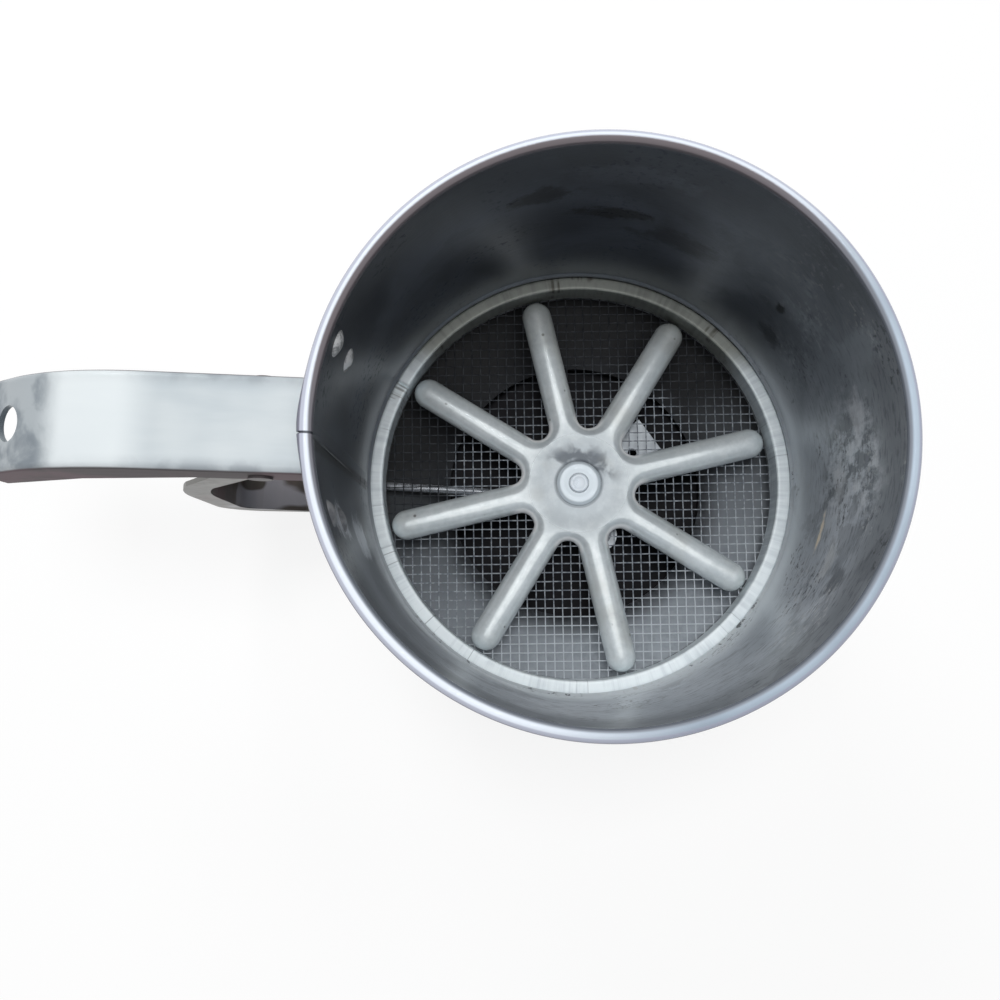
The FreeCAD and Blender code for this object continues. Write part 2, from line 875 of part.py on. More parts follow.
def make_handle():
    """The channel strap: it rises from the bracket, arches down to its end and hangs by a hole."""
    body = new_body("handle")
    rise = d.handle_rise
    fall = d.end_bend - rise
    half_bend = d.end_bend / 2
    near_x = -(d.can_radius - d.overrun)
    near_z = web_foot_z - d.overrun * tangent(rise)
    bend_x = -(d.can_radius + d.strap_run)
    bend_z = web_foot_z + d.strap_run * tangent(rise)
    end_x = bend_x - d.end_length * cosine(fall)
    end_z = bend_z - d.end_length * sine(fall)

    def offset_line(depth, end_depth, reach):
        """Corners of a line under the strap's top: near, before and after the bend, and end."""
        radius = d.bend_radius - depth
        step = d.bend_radius * tangent(half_bend)
        before = (
            bend_x + step * cosine(rise) - depth * sine(rise),
            bend_z - step * sine(rise) - depth * cosine(rise),
        )
        after = (
            bend_x - step * cosine(fall) + depth * sine(fall),
            bend_z - step * sine(fall) - depth * cosine(fall),
        )
        far = (
            end_x - reach * cosine(fall) + end_depth * sine(fall),
            end_z - reach * sine(fall) - end_depth * cosine(fall),
        )
        near = (near_x, near_z - depth / cosine(rise))
        return near, before, after + (radius, 1), far

    near, before, after, far = offset_line(sized(0), sized(0), sized(0))
    depth = d.flange_depth / cosine(rise)
    line = [near, before, after, far]
    line.append((end_x, end_z - d.end_flange_depth))
    line.append((bend_x, bend_z - d.bend_flange_depth))
    line.append((-(d.can_radius + d.flange_reach), web_foot_z + d.flange_reach * tangent(rise) - depth))
    line.append((near_x, near_z - depth))
    strap = side_pad(body, "strap", line, d.handle_width)
    edge_y = float(d.handle_width * d.side_edge_share) / 2

    def at_end(point):
        """True on the two upright edges of the strap's end."""
        return abs(point.y) > edge_y and abs(point.x - float(end_x)) < float(d.handle_sheet)

    corners = rounded(body, "end_corners", strap, edges_where(strap.Shape, at_end), d.corner_round)

    def on_top(point):
        """True on the long edges of the strap's upper face."""
        if point.x > float(bend_x):
            height = float(bend_z) + (point.x - float(bend_x)) * -math.tan(math.radians(float(rise)))
        else:
            height = float(bend_z) + (point.x - float(bend_x)) * math.tan(math.radians(float(fall)))
        return abs(point.y) > edge_y and height - point.z < float(d.flange_depth) / 2

    rounded(body, "edge_rounds", corners, edges_where(corners.Shape, on_top), d.edge_round)
    near, before, after, far = offset_line(d.handle_sheet, d.handle_sheet, d.overrun)
    low = pivot_z - d.flange_depth * 3
    side_pad(
        body,
        "channel",
        [near, before, after, far, (far[0], low), (near_x, low)],
        2 * handle_inner_half,
        "PartDesign::Pocket",
    )
    round_bar(
        body,
        "Subtractive",
        "can_cut",
        bracket_outer + d.seat_play,
        2 * d.can_height,
        z=sized(0),
    )
    hole_x = bend_x - d.hanging_reach * cosine(fall)
    hole_z = bend_z - d.hanging_reach * sine(fall)
    round_bar(
        body,
        "Subtractive",
        "hanging_hole",
        d.hanging_radius,
        2 * d.overrun,
        x=hole_x + d.overrun * sine(fall),
        z=hole_z - d.overrun * cosine(fall),
        axis=AXIS_Y,
        angle=-fall,
    )
    round_bar(
        body,
        "Subtractive",
        "pin_hole_handle",
        d.pin_radius + d.seat_play,
        d.handle_width + 2 * d.overrun,
        x=pivot_x,
        y=-(d.handle_width / 2 + d.overrun),
        z=pivot_z,
        **ALONG_Y,
    )


def make_trigger_pin():
    body = new_body("trigger_pin")
    half = d.handle_width / 2 + d.seat_play
    for name, radius, length, y in (
        ("pin_rod", d.pin_radius, 2 * half, -half),
        ("pin_head", d.pin_head_radius, d.pin_head_rise, -(half + d.pin_head_rise)),
        ("pin_tail", d.pin_head_radius, d.pin_head_rise, half),
    ):
        round_bar(
            body, "Additive", name, radius, length, x=pivot_x, y=y, z=pivot_z,
            **ALONG_Y,
        )


def make_pivot_spacer():
    body = new_body("pivot_spacer")
    half = trigger_inner_half - d.spacer_play
    for kind, name, radius in (
        ("Additive", "spacer_tube", d.spacer_radius),
        ("Subtractive", "spacer_bore", d.pin_radius + d.running_play),
    ):
        round_bar(
            body, kind, name, radius, 2 * half, x=pivot_x, y=-half, z=pivot_z,
            **ALONG_Y,
        )


def make_trigger():
    """The trigger: a channel that opens away from the can, hung from two ears, with a foot that
    holds the link's hook in a slot and a tab for the spring."""
    body = new_body("trigger")
    grip_x = -(d.can_radius + d.finger_gap + d.trigger_depth)
    knee_x = grip_x + d.knee_radius
    heel_x = grip_x + d.heel_radius
    foot_low = d.foot_web_height - d.foot_flange
    heel_z = foot_low + d.heel_radius
    foot_x = -(d.can_radius + d.foot_gap)
    foot_bend_x = -(d.can_radius + d.foot_start)
    run_x = knee_x - d.knee_radius * cosine(d.knee_angle) - pivot_x
    run_z = d.grip_top + d.knee_radius * sine(d.knee_angle) - pivot_z
    lean = arctangent(run_x / run_z)

    def line_at(depth):
        """Corners at one depth from the outer outline: ear, knee, grip top, heel start and heel end."""
        knee = d.knee_radius - depth
        heel = d.heel_radius - depth
        side = d.ear_radius - depth * 2 * d.ear_radius / d.trigger_depth
        return (
            (pivot_x - side * cosine(lean), pivot_z + side * sine(lean)),
            (knee_x - knee * cosine(d.knee_angle), d.grip_top + knee * sine(d.knee_angle)),
            (knee_x - knee, d.grip_top, knee, 1),
            (heel_x - heel, heel_z),
            (heel_x, heel_z - heel, heel, 1),
        )

    def backward(line, ends):
        """The same corners in the other direction, from the heel up to the ear."""
        ear, knee, top, heel, low = line
        return ends + [
            low[:2],
            (heel[0], heel[1], low[2], -1),
            top[:2],
            (knee[0], knee[1], top[2], -1),
            ear,
        ]

    outer = line_at(sized(0))
    inner = line_at(d.trigger_depth)
    foot_top = d.foot_web_height + d.trigger_sheet
    side_pad(
        body,
        "trigger_side",
        list(outer)
        + [(foot_x, foot_low)]
        + backward(inner, [(foot_x, foot_top), (foot_bend_x, foot_top)]),
        2 * trigger_half,
    )
    round_bar(
        body, "Additive", "ears", d.ear_radius, 2 * trigger_half,
        x=pivot_x, y=-trigger_half, z=pivot_z, **ALONG_Y,
    )
    web = line_at(d.trigger_depth - d.trigger_sheet)
    web_end = (
        web[1][0] + d.web_end_share * (web[0][0] - web[1][0]),
        web[1][1] + d.web_end_share * (web[0][1] - web[1][1]),
    )
    beyond_x = pivot_x + d.pivot_reach
    far_x = grip_x - d.overrun
    above_z = pivot_z + d.pivot_reach
    side_pad(
        body,
        "trigger_channel",
        [
            (web_end[0] + d.overrun * cosine(lean), web_end[1] - d.overrun * sine(lean)),
            web_end,
        ]
        + list(web[1:])
        + [
            (foot_bend_x, d.foot_web_height),
            (foot_x + d.overrun, d.foot_web_height),
            (foot_x + d.overrun, -d.overrun),
            (far_x, -d.overrun),
            (far_x, above_z),
            (beyond_x, above_z),
        ],
        2 * trigger_inner_half,
        "PartDesign::Pocket",
    )
    block(
        body,
        "Additive",
        "spring_tab",
        d.tab_reach,
        2 * trigger_inner_half,
        d.tab_sheet,
        x=pivot_x - d.tab_reach,
        y=-trigger_inner_half,
        z=pivot_z - d.tab_drop - d.tab_sheet,
    )
    slot_half = d.wire_radius + d.slot_play
    block(
        body,
        "Subtractive",
        "hook_slot",
        2 * d.wire_radius + d.slot_play,
        2 * slot_half + pin_sweep,
        d.overrun,
        x=-(d.hook_reach + d.wire_radius + d.slot_play / 2),
        y=-(slot_half + pin_sweep),
        z=d.foot_web_height - d.overrun / 2,
    )
    round_bar(
        body, "Subtractive", "pin_hole_trigger", d.pin_radius + d.running_play,
        d.handle_width, x=pivot_x, y=-(d.handle_width / 2), z=pivot_z,
        **ALONG_Y,
    )


def biarc(start, start_way, end, end_way):
    """Two arcs that join two points and keep both directions."""
    span = end - start
    both = start_way + end_way
    spread = 2 * (1 - start_way.dot(end_way))
    reach = span.dot(both)
    step = (-reach + math.sqrt(reach * reach + spread * span.dot(span))) / spread
    first = start + start_way * step
    second = end - end_way * step
    middle = (first + second) * 0.5
    edges = []
    for a, control, b in ((start, first, middle), (middle, second, end)):
        centre = (a + b) * 0.5
        half = (b - a).Length / 2
        lean = math.acos(half / step)
        top = centre + (control - centre).normalize() * (half * math.tan(lean / 2))
        edges.append(Part.Arc(a, top, b).toShape())
    return edges


def make_trigger_spring():
    """The return spring between the strap's underside and the trigger's tab: one unbroken wire."""
    wire = float(d.spring_wire)
    radius = float(d.spring_radius)
    turns = float(d.spring_turns)
    middle_x = float(pivot_x - d.spring_reach)
    low = float(pivot_z - d.tab_drop + d.spring_seat) + wire
    near = float(d.pivot_reach + d.spring_reach) - radius
    lean = float(tangent(d.handle_rise))
    web_under = (
        float(web_foot_z) + near * lean - float(d.handle_sheet / cosine(d.handle_rise))
    )
    high = web_under - float(d.spring_seat) - wire - wire * lean
    climb = (high - low) / turns
    slope = climb / (2 * math.pi)

    def at(angle):
        return Vector(
            middle_x + radius * math.cos(angle), radius * math.sin(angle), low + slope * angle
        )

    def way(angle):
        return Vector(-radius * math.sin(angle), radius * math.cos(angle), slope).normalize()

    quarters = int(round(4 * turns))
    edges = []
    for quarter in range(quarters):
        a = quarter * math.pi / 2
        b = a + math.pi / 2
        edges += biarc(at(a), way(a), at(b), way(b))
    solid = swept_round(Part.Wire(edges), at(0), way(0), wire)
    points = [at(i * math.pi / 18) for i in range(int(36 * turns) + 1)]
    gap = min(
        (points[i] - points[j]).Length - 2 * wire
        for i in range(len(points))
        for j in range(i + 18, len(points))
    )
    print("spring least gap to itself", round(gap, 3))
    own_shape("trigger_spring", solid)


make_can_body()
make_rim_wire()
make_screen_ring()
ring("clamp_ring", ring_inner, ring_outer, clamp_low, d.clamp_thickness)
make_mesh_screen()
make_centre_bush()
ring(
    "bush_plate",
    d.shaft_radius + d.running_play + d.bush_wall,
    d.bush_flange_radius,
    d.mesh_height - d.bush_plate_thickness,
    d.bush_plate_thickness,
)
make_base_funnel()
make_agitator_star()
make_agitator_shaft()
shaft_clear = d.shaft_radius + d.seat_play
ring(
    "upper_washer",
    shaft_clear,
    d.washer_radius,
    mesh_top + d.bush_flange + d.face_play,
    d.washer_thickness,
)
ring("lower_washer", shaft_clear, d.washer_radius, crank_top + d.face_play, d.washer_thickness)
make_crank_plate()
make_link_wire()
make_link_clips()
make_handle_bracket()
make_handle_rivets()
make_handle()
make_trigger_pin()
make_pivot_spacer()
make_trigger()
make_trigger_spring()
doc.recompute()

for item in doc.Objects:
    if "Invalid" in item.State or "Error" in item.State:
        raise RuntimeError(f"{item.Label} failed: {item.State}")
for label, item in parts.items():
    if item.Shape.isNull() or not item.Shape.isValid() or item.Shape.Volume <= 0:
        raise RuntimeError(f"{label} has no valid shape")

os.makedirs("parts", exist_ok=True)
for label, item in parts.items():
    item.Shape.exportStep(f"parts/{label}.step")
    print(label, "solids", len(item.Shape.Solids), "volume", round(item.Shape.Volume, 1))
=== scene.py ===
import math
import random

import bpy
import numpy as np
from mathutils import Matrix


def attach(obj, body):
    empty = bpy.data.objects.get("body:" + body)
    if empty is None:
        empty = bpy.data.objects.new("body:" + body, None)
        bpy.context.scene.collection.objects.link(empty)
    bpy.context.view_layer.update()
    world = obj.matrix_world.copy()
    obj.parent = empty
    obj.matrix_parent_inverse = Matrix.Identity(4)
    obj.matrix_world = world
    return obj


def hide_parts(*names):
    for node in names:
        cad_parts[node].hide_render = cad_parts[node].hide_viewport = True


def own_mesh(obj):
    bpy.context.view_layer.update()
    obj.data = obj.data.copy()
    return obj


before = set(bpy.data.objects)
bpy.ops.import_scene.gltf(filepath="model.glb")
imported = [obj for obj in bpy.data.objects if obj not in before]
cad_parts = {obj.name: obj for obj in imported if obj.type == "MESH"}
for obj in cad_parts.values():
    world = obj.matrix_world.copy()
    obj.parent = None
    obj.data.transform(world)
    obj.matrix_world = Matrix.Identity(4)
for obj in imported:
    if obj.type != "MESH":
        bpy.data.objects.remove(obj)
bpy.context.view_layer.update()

# Lengths are millimetres in the frame of the CAD part, and become metres in add_piece
MM = 0.001

# The can
WALL_INNER = 49.5
WALL_OUTER = 50.0
CURL_CENTRE = (50.75, 95.75)
CURL_RADIUS = 1.25
SHEET = 0.5
HEM_HEIGHT = 2.6
HEM_OUTER = 51.0
RIDGES = (4.22, 15.56, 26.04)
RIDGE_DEPTH = 0.6
RIDGE_HALF = 1.2
SEAM_HALF = 1.6
SEAM_MIDDLE = 1.4
LAP_DEPTH = 0.22
NICK_MIDDLE = 2.0

# The link's slot through the can's wall: its sides, its middle's height, and its corners
SLOT_SIDES = (-3.1, 1.3)
SLOT_LEVEL = 10.4
SLOT_HALF = 1.5
SLOT_ROUND = 0.6

# The screen and its ring
RING_INNER = 46.2
RING_OUTER = 49.3
RING_LOW = 17.85
RING_TOP = 25.0
BUTT_DEGREES = 152.2
CLOTH_MIDDLE = 17.5
CLOTH_PITCH = 2.1
CLOTH_WIRE = 0.15
CLOTH_TURN = 1.9
CLOTH_REACH = RING_INNER + 1.2
CLOTH_HOLE = 5.2

# The star
STAR_LOW = 18.7
STAR_SHEET = 0.7
WELD_REACH = 0.04
STAR_TURN = 14.6
ARM_COUNT = 8
ARM_SPREAD = math.radians(22.5)
ARM_HALF = 3.55
ARM_TIP = 42.11
NOTCH = (15.34, 6.354)
NOTCH_RADIUS = 2.804
DOME_RADIUS = 5.1
DOME_TOP = 21.75
HUB_RISE = 2.0
HUB_ROLL = 2.6

# The spring
SPRING_MIDDLE = -71.0
SPRING_RADIUS = 2.6
SPRING_WIRE = 0.4
SPRING_LOW = 84.75
SPRING_HIGH = 92.38
SPRING_TURNS = 6

# The stage
WHITE = (1.0, 1.0, 1.0, 1.0)
FLOOR = (0.9, 0.9, 0.9, 1.0)
# A painted shadow on the floor under the can, seen through its outlet.
PAINTED_SHADOW_UNDER_CAN = (0.02, 0.02, 0.022, 1.0)
FLOOR_LIFT = 0.86
SKY = (0.94, 0.97, 1.0, 1.0)
SKY_STRENGTH = 0.2

# Stains on the can's inner wall, and one painted highlight: each one's angle in degrees, its
# height, half-width and half-height in millimetres, then its colour and its strength.
WALL_PATCHES = (
    ((8.8, 73.0, 4.5, 4.5), (236, 238, 242), 0.5),
    ((19.8, 85.0, 4.0, 7.0), (158, 164, 172), 0.6),
    ((-4.7, 61.0, 6.0, 3.5), (226, 229, 233), 0.55),
    # A painted highlight: this pale warm streak is a glint on the wall, not a stain.
    ((-15.8, 53.0, 4.0, 1.3), (255, 240, 214), 0.95),
    ((-23.6, 66.0, 5.0, 3.5), (214, 216, 216), 0.5),
    ((-45.0, 76.0, 10.0, 5.0), (134, 140, 146), 0.5),
    ((-29.0, 76.0, 3.5, 5.0), (44, 48, 56), 0.6),
    ((40.0, 60.0, 1.2, 2.4), (20, 22, 28), 0.9),
    ((37.4, 46.0, 3.5, 4.0), (34, 37, 44), 0.65),
    ((102.7, 76.0, 8.0, 4.0), (18, 22, 30), 0.85),
    ((86.0, 65.0, 9.0, 3.2), (16, 19, 26), 0.9),
    ((84.0, 84.0, 12.0, 4.0), (92, 97, 108), 0.5),
    ((70.0, 58.0, 10.0, 5.0), (30, 33, 40), 0.6),
    ((-162.0, 79.0, 3.0, 8.0), (226, 229, 235), 0.85),
    ((-160.5, 54.0, 4.5, 9.0), (206, 210, 218), 0.8),
    ((-158.0, 36.0, 7.0, 6.0), (140, 144, 152), 0.6),
)


class Value:
    """A socket's value in a finish. Its operators add Math nodes."""

    def __init__(self, finish, socket):
        self.finish = finish
        self.socket = socket

    def __add__(self, other):
        return self.finish.maths("ADD", self, other)

    def __radd__(self, other):
        return self.finish.maths("ADD", other, self)

    def __sub__(self, other):
        return self.finish.maths("SUBTRACT", self, other)

    def __rsub__(self, other):
        return self.finish.maths("SUBTRACT", other, self)

    def __mul__(self, other):
        return self.finish.maths("MULTIPLY", self, other)

    def __rmul__(self, other):
        return self.finish.maths("MULTIPLY", other, self)

    def __truediv__(self, other):
        return self.finish.maths("DIVIDE", self, other)

    def __pow__(self, other):
        return self.finish.maths("POWER", self, other)

    def __abs__(self):
        return self.finish.maths("ABSOLUTE", self)

    def part(self, output):
        """Another output of the same node."""
        return Value(self.finish, self.socket.node.outputs[output])


def srgb(red, green, blue):
    """A colour given as it looks on a screen, as the shader's own linear numbers."""
    linear = []
    for channel in (red, green, blue):
        share = channel / 255
        linear.append(share / 12.92 if share <= 0.04045 else ((share + 0.055) / 1.055) ** 2.4)
    return (*linear, 1.0)


class Nodes:
    """A node tree, emptied, and the one way in which nodes are added to it."""

    def __init__(self, owner):
        owner.use_nodes = True
        self.tree = owner.node_tree
        self.tree.nodes.clear()

    def node(self, kind, settings=None, sockets=None):
        """A node: its settings are set first, then the values or links of its sockets."""
        made = self.tree.nodes.new(kind)
        for setting, choice in (settings or {}).items():
            setattr(made, setting, choice)
        for socket, value in (sockets or {}).items():
            if isinstance(value, Value):
                self.tree.links.new(value.socket, made.inputs[socket])
            else:
                made.inputs[socket].default_value = value
        return Value(self, made.outputs[0] if len(made.outputs) else None)

    def maths(self, operation, *values):
        """A Math node's result."""
        return self.node("ShaderNodeMath", {"operation": operation}, dict(enumerate(values)))

    def looked_at(self):
        """1 for what the camera sees, straight, mirrored or through something."""
        rays = self.node("ShaderNodeLightPath")
        seen = self.maths("MAXIMUM", rays.part("Is Camera Ray"), rays.part("Is Glossy Ray"))
        return self.maths("MAXIMUM", seen, rays.part("Is Transmission Ray"))


class Finish(Nodes):
    """A material with a Principled shader and the nodes that drive it."""

    def __init__(self, name, constants):
        self.material = bpy.data.materials.new(name)
        super().__init__(self.material)
        self.shader = self.tree.nodes.new("ShaderNodeBsdfPrincipled")
        for socket, constant in constants.items():
            self.shader.inputs[socket].default_value = constant
        self.surface = Value(self, self.shader.outputs[0])
        self.place = self.node("ShaderNodeTexCoord").part("Object")

    def done(self):
        """The material, with its shader linked to its output."""
        self.node("ShaderNodeOutputMaterial", sockets={"Surface": self.surface})
        return self.material

    def drive(self, socket, value):
        """Links a value to one of the shader's sockets."""
        self.tree.links.new(value.socket, self.shader.inputs[socket])

    def axis(self, letter):
        """The place along X, Y or Z, in metres."""
        parts = self.node("ShaderNodeSeparateXYZ", sockets={0: self.place})
        return parts.part("XYZ".index(letter))

    def stretched(self, x, y, z):
        """The place scaled by three factors, so that noise on it is drawn out."""
        return self.node(
            "ShaderNodeVectorMath", {"operation": "MULTIPLY"}, {0: self.place, 1: (x, y, z)}
        )

    def around(self, height_share=1.0):
        """The place as distance round the can and height, in metres. A share of the height
        draws noise out up the wall."""
        return self.node(
            "ShaderNodeCombineXYZ",
            sockets={
                0: self.turn() * (WALL_OUTER * MM),
                1: self.axis("Z") * height_share,
                2: 0.0,
            },
        )

    def reach(self):
        """The distance from the can's axis, in metres."""
        x, y = self.axis("X"), self.axis("Y")
        return (x * x + y * y) ** 0.5

    def facing(self, letter):
        """How far the surface faces along an axis, from -1 to 1."""
        normal = self.node("ShaderNodeTexCoord").part("Normal")
        parts = self.node("ShaderNodeSeparateXYZ", sockets={0: normal})
        return parts.part("XYZ".index(letter))

    def turn(self):
        """The angle round the can's axis, in radians from +X."""
        return self.maths("ARCTAN2", self.axis("Y"), self.axis("X"))

    def patch(self, ragged, degrees, height, wide, tall):
        """1 in a ragged oval patch on the can's wall, given in degrees and millimetres."""
        aside = (self.turn() * WALL_OUTER - math.radians(degrees) * WALL_OUTER) / wide
        above = (self.axis("Z") * 1000.0 - height) / tall
        distance = (aside * aside + above * above) ** 0.5
        return self.band(distance + (ragged - 0.5) * 3.2, 1.2, 0.5)

    def noise(self, scale, detail=4.0, rough=0.55, vector=None, distortion=0.0):
        """Soft noise from 0 to 1, mostly near 0.5."""
        values = {
            "Vector": self.place if vector is None else vector,
            "Scale": scale,
            "Detail": detail,
            "Roughness": rough,
            "Distortion": distortion,
        }
        return self.node("ShaderNodeTexNoise", sockets=values)

    def spots(self, scale, share, vector=None):
        """Small round marks: 1 in a mark and 0 outside."""
        values = {"Vector": self.place if vector is None else vector, "Scale": scale}
        distance = self.node("ShaderNodeTexVoronoi", sockets=values)
        return self.band(distance, share, share * 0.5)

    def band(self, value, start, end):
        """0 where the value is at start, 1 where it is at end, and smooth between."""
        values = {"Value": value, "From Min": start, "From Max": end}
        settings = {"interpolation_type": "SMOOTHSTEP"}
        return self.node("ShaderNodeMapRange", settings, values)

    def mix(self, share, first, second):
        """Two colours mixed by a share."""
        made = self.node(
            "ShaderNodeMix", {"data_type": "RGBA"}, {"Factor": share, 6: first, 7: second}
        )
        return made.part(2)

    def bump(self, height, strength, distance):
        """Small dents and scratches that shade the surface without moving it."""
        values = {"Height": height, "Strength": strength, "Distance": distance}
        self.drive("Normal", self.node("ShaderNodeBump", sockets=values))


def rubbed_tin(name, dark, light, roughness, metallic=0.75, grain=(1.0, 1.0, 1.0), dots=0.0):
    """Tinned or plain steel with cloudy tone, drawn-out rubbing marks and small dark dots."""
    finish = Finish(name, {"Metallic": metallic})
    cloud = finish.noise(55.0, 5.0)
    rub = finish.noise(420.0, 3.0, vector=finish.stretched(*grain))
    tone = finish.band(cloud * 0.65 + rub * 0.35, 0.36, 0.62)
    colour = finish.mix(tone, dark, light)
    if dots:
        mark = finish.spots(330.0, 0.12) * finish.band(finish.noise(90.0), 0.5, 0.62) * dots
        colour = finish.mix(mark, colour, srgb(52, 50, 50))
    finish.drive("Base Color", colour)
    finish.drive("Roughness", roughness + (rub - 0.5) * 0.22 + (cloud - 0.5) * 0.18)
    finish.bump(rub * 0.6 + finish.noise(2600.0, 2.0) * 0.4, 0.12, 0.0002)
    return finish.done()


def stained_wall_tin():
    """The can's inside: stained tin, with painted shade at the far side and painted light at the
    near right, smudges, flecks and streaks, a dark lap seam, and a painted reflection of the ring
    over it."""
    finish = Finish("stained_wall_tin", {"Metallic": 0.32})
    around = finish.around()
    height = finish.axis("Z")
    cloud = finish.noise(30.0, 5.0, 0.55, around, 0.5)
    streaks = finish.noise(300.0, 4.0, 0.6, finish.around(3.5))
    specks = finish.noise(700.0, 3.0, 0.6, around)
    ragged = finish.noise(170.0, 6.0, 0.72, around)
    # Painted light and shade: the wall is painted paler towards the near right and darker at the
    # far side.
    side = (finish.axis("X") * 0.75 - finish.axis("Y")) * 20.0
    painted_lit_side = finish.band(side + (cloud - 0.5) * 0.9, -0.75, 1.0)
    dark = finish.mix(finish.band(cloud, 0.35, 0.65), srgb(58, 63, 73), srgb(86, 92, 103))
    pale = finish.mix(finish.band(cloud, 0.35, 0.65), srgb(166, 173, 181), srgb(204, 210, 217))
    colour = finish.mix(painted_lit_side, dark, pale)
    tide = finish.band(finish.noise(42.0, 6.0, 0.62, around, 1.1), 0.54, 0.6)
    colour = finish.mix(tide * 0.3, colour, srgb(58, 62, 70))
    run = finish.band(streaks, 0.5, 0.66) * finish.band(height, 0.03, 0.055)
    colour = finish.mix(run * painted_lit_side * 0.6, colour, srgb(84, 90, 99))
    # Painted reflection: a pale band on the wall just over the ring, strongest on the near side.
    near = finish.band(finish.axis("Y"), 0.01, -0.035)
    ring_reflection_and_scuff = finish.band(height + (cloud - 0.5) * 0.012, 0.046, 0.027) * (near * 0.65 + 0.2)
    colour = finish.mix(ring_reflection_and_scuff, colour, srgb(206, 212, 216))
    brow = finish.band(height + (cloud - 0.5) * 0.016, 0.074, 0.09)
    colour = finish.mix(brow * 0.55, colour, srgb(44, 48, 55))
    blotch = finish.noise(230.0, 6.0, 0.72, finish.around(0.5))
    scuffed = finish.patch(cloud, -3.0, 66.0, 13.0, 22.0)
    sunk = scuffed * finish.band(blotch, 0.5, 0.44)
    colour = finish.mix(sunk * 0.6, colour, srgb(70, 75, 82))
    # The patch's pale scuffs.
    ring_reflection_and_scuff = scuffed * finish.band(blotch, 0.48, 0.62)
    colour = finish.mix(ring_reflection_and_scuff * 0.7, colour, srgb(232, 235, 239))
    for place, tone, strength in WALL_PATCHES:
        colour = finish.mix(finish.patch(ragged, *place) * strength, colour, srgb(*tone))
    flecked = finish.band(finish.noise(48.0, 3.0, 0.5, around), 0.5, 0.6)
    fleck = finish.band(specks, 0.55, 0.63) * flecked
    colour = finish.mix(fleck * painted_lit_side * 0.8, colour, srgb(196, 198, 200))
    grimy = finish.band(finish.noise(60.0, 2.0, 0.5, around), 0.53, 0.6)
    grime = finish.band(specks, 0.45, 0.38) * grimy
    colour = finish.mix(grime * painted_lit_side * 0.8, colour, srgb(40, 43, 50))
    aside = finish.axis("Y") + 0.0021 + height * 0.018
    behind = finish.band(finish.axis("X"), -0.03, -0.04)
    seam = finish.band(abs(aside), 0.0014, 0.0006) * behind * finish.band(height, 0.0285, 0.03)
    colour = finish.mix(seam * 0.92, colour, srgb(18, 20, 25))
    finish.drive("Base Color", colour)
    finish.drive("Roughness", 0.34 + (cloud - 0.5) * 0.25 + fleck * 0.2)
    finish.bump(streaks * 0.4 + specks * 0.25 + cloud * 0.35, 0.16, 0.0004)
    return finish.done()


def ring_tin():
    """The bright ring: rubbed tin with faint ticks, painted darker and olive at the far side
    where a shadow falls, with a few rusty marks there."""
    finish = Finish("ring_tin", {"Metallic": 0.3})
    around = finish.around(0.0)
    crimps = finish.noise(620.0, 3.0, 0.6, around)
    patch = finish.noise(60.0, 4.0, 0.6)
    tone = finish.band(crimps * 0.45 + patch * 0.55, 0.36, 0.54)
    colour = finish.mix(tone, srgb(212, 221, 226), srgb(240, 248, 251))
    # Painted shadow: the far arc of the ring is painted darker and olive.
    far = finish.band(finish.axis("Y") + (patch - 0.5) * 0.006, 0.024, 0.033)
    far_shadow_tone = finish.mix(tone, srgb(128, 131, 126), srgb(158, 161, 155))
    colour = finish.mix(far, colour, far_shadow_tone)
    rust = finish.band(patch, 0.55, 0.62) * finish.band(crimps, 0.46, 0.58)
    rust = rust * finish.band(finish.axis("Y"), 0.008, 0.02)
    colour = finish.mix(rust * 0.75, colour, srgb(66, 58, 48))
    tick = finish.band(finish.noise(1150.0, 1.0, 0.5, around), 0.62, 0.7)
    tick = tick * finish.band(finish.noise(48.0, 2.0), 0.5, 0.58)
    colour = finish.mix(tick * 0.55, colour, srgb(120, 128, 134))
    finish.drive("Base Color", colour)
    finish.drive("Roughness", 0.38 + (crimps - 0.5) * 0.25)
    finish.bump(crimps, 0.1, 0.0002)
    return finish.done()


def bead_tin():
    """The rolled rim: polished, with a painted highlight along its pale blue crown and painted
    shade on its flanks and under the curl, the inner flank wide and brownish at the far side."""
    finish = Finish("bead_tin", {"Metallic": 0.45})
    across = (finish.reach() - WALL_INNER * MM) * (0.5 / (CURL_RADIUS * MM))
    slow = finish.noise(26.0, 2.0)
    # Painted light and shade: the crown is painted bright and the flanks darker, as light falls
    # on a round bead; at the far side the inner flank is painted wider and brownish.
    away = finish.axis("Y") - finish.axis("X") * 0.45 + (slow - 0.5) * 0.02
    far = finish.band(away, -0.01, 0.04)
    inner = far * 0.18 + 0.22
    crown = finish.mix(finish.band(slow, 0.35, 0.65), srgb(146, 160, 174), srgb(178, 192, 206))
    bright = finish.band(finish.axis("X"), 0.02, -0.02)
    crown = finish.mix(finish.maths("MAXIMUM", bright, far), crown, srgb(226, 233, 243))
    flank = finish.mix(far, srgb(132, 138, 148), srgb(112, 105, 109))
    colour = finish.mix(finish.band(across - inner, 0.12, -0.06), crown, flank)
    # Painted shade on the outer flank, darkest at its edge.
    colour = finish.mix(finish.band(across, 0.6, 0.72) * 0.7, colour, srgb(164, 166, 184))
    colour = finish.mix(finish.band(across, 0.88, 0.98) * 0.8, colour, srgb(96, 94, 108))
    # Painted shade under the curl.
    under = finish.band(finish.axis("Z"), 0.0962, 0.0953)
    colour = finish.mix(under * 0.6, colour, srgb(84, 88, 98))
    nick = finish.band(abs(finish.axis("Y") + NICK_MIDDLE * MM), 0.00032, 0.00012)
    nick = nick * finish.band(finish.axis("X"), -0.03, -0.04)
    colour = finish.mix(nick * 0.85, colour, srgb(40, 44, 54))
    finish.drive("Base Color", colour)
    finish.drive("Roughness", 0.22 + (slow - 0.5) * 0.1)
    finish.bump(finish.noise(300.0, 2.0), 0.03, 0.0001)
    return finish.done()


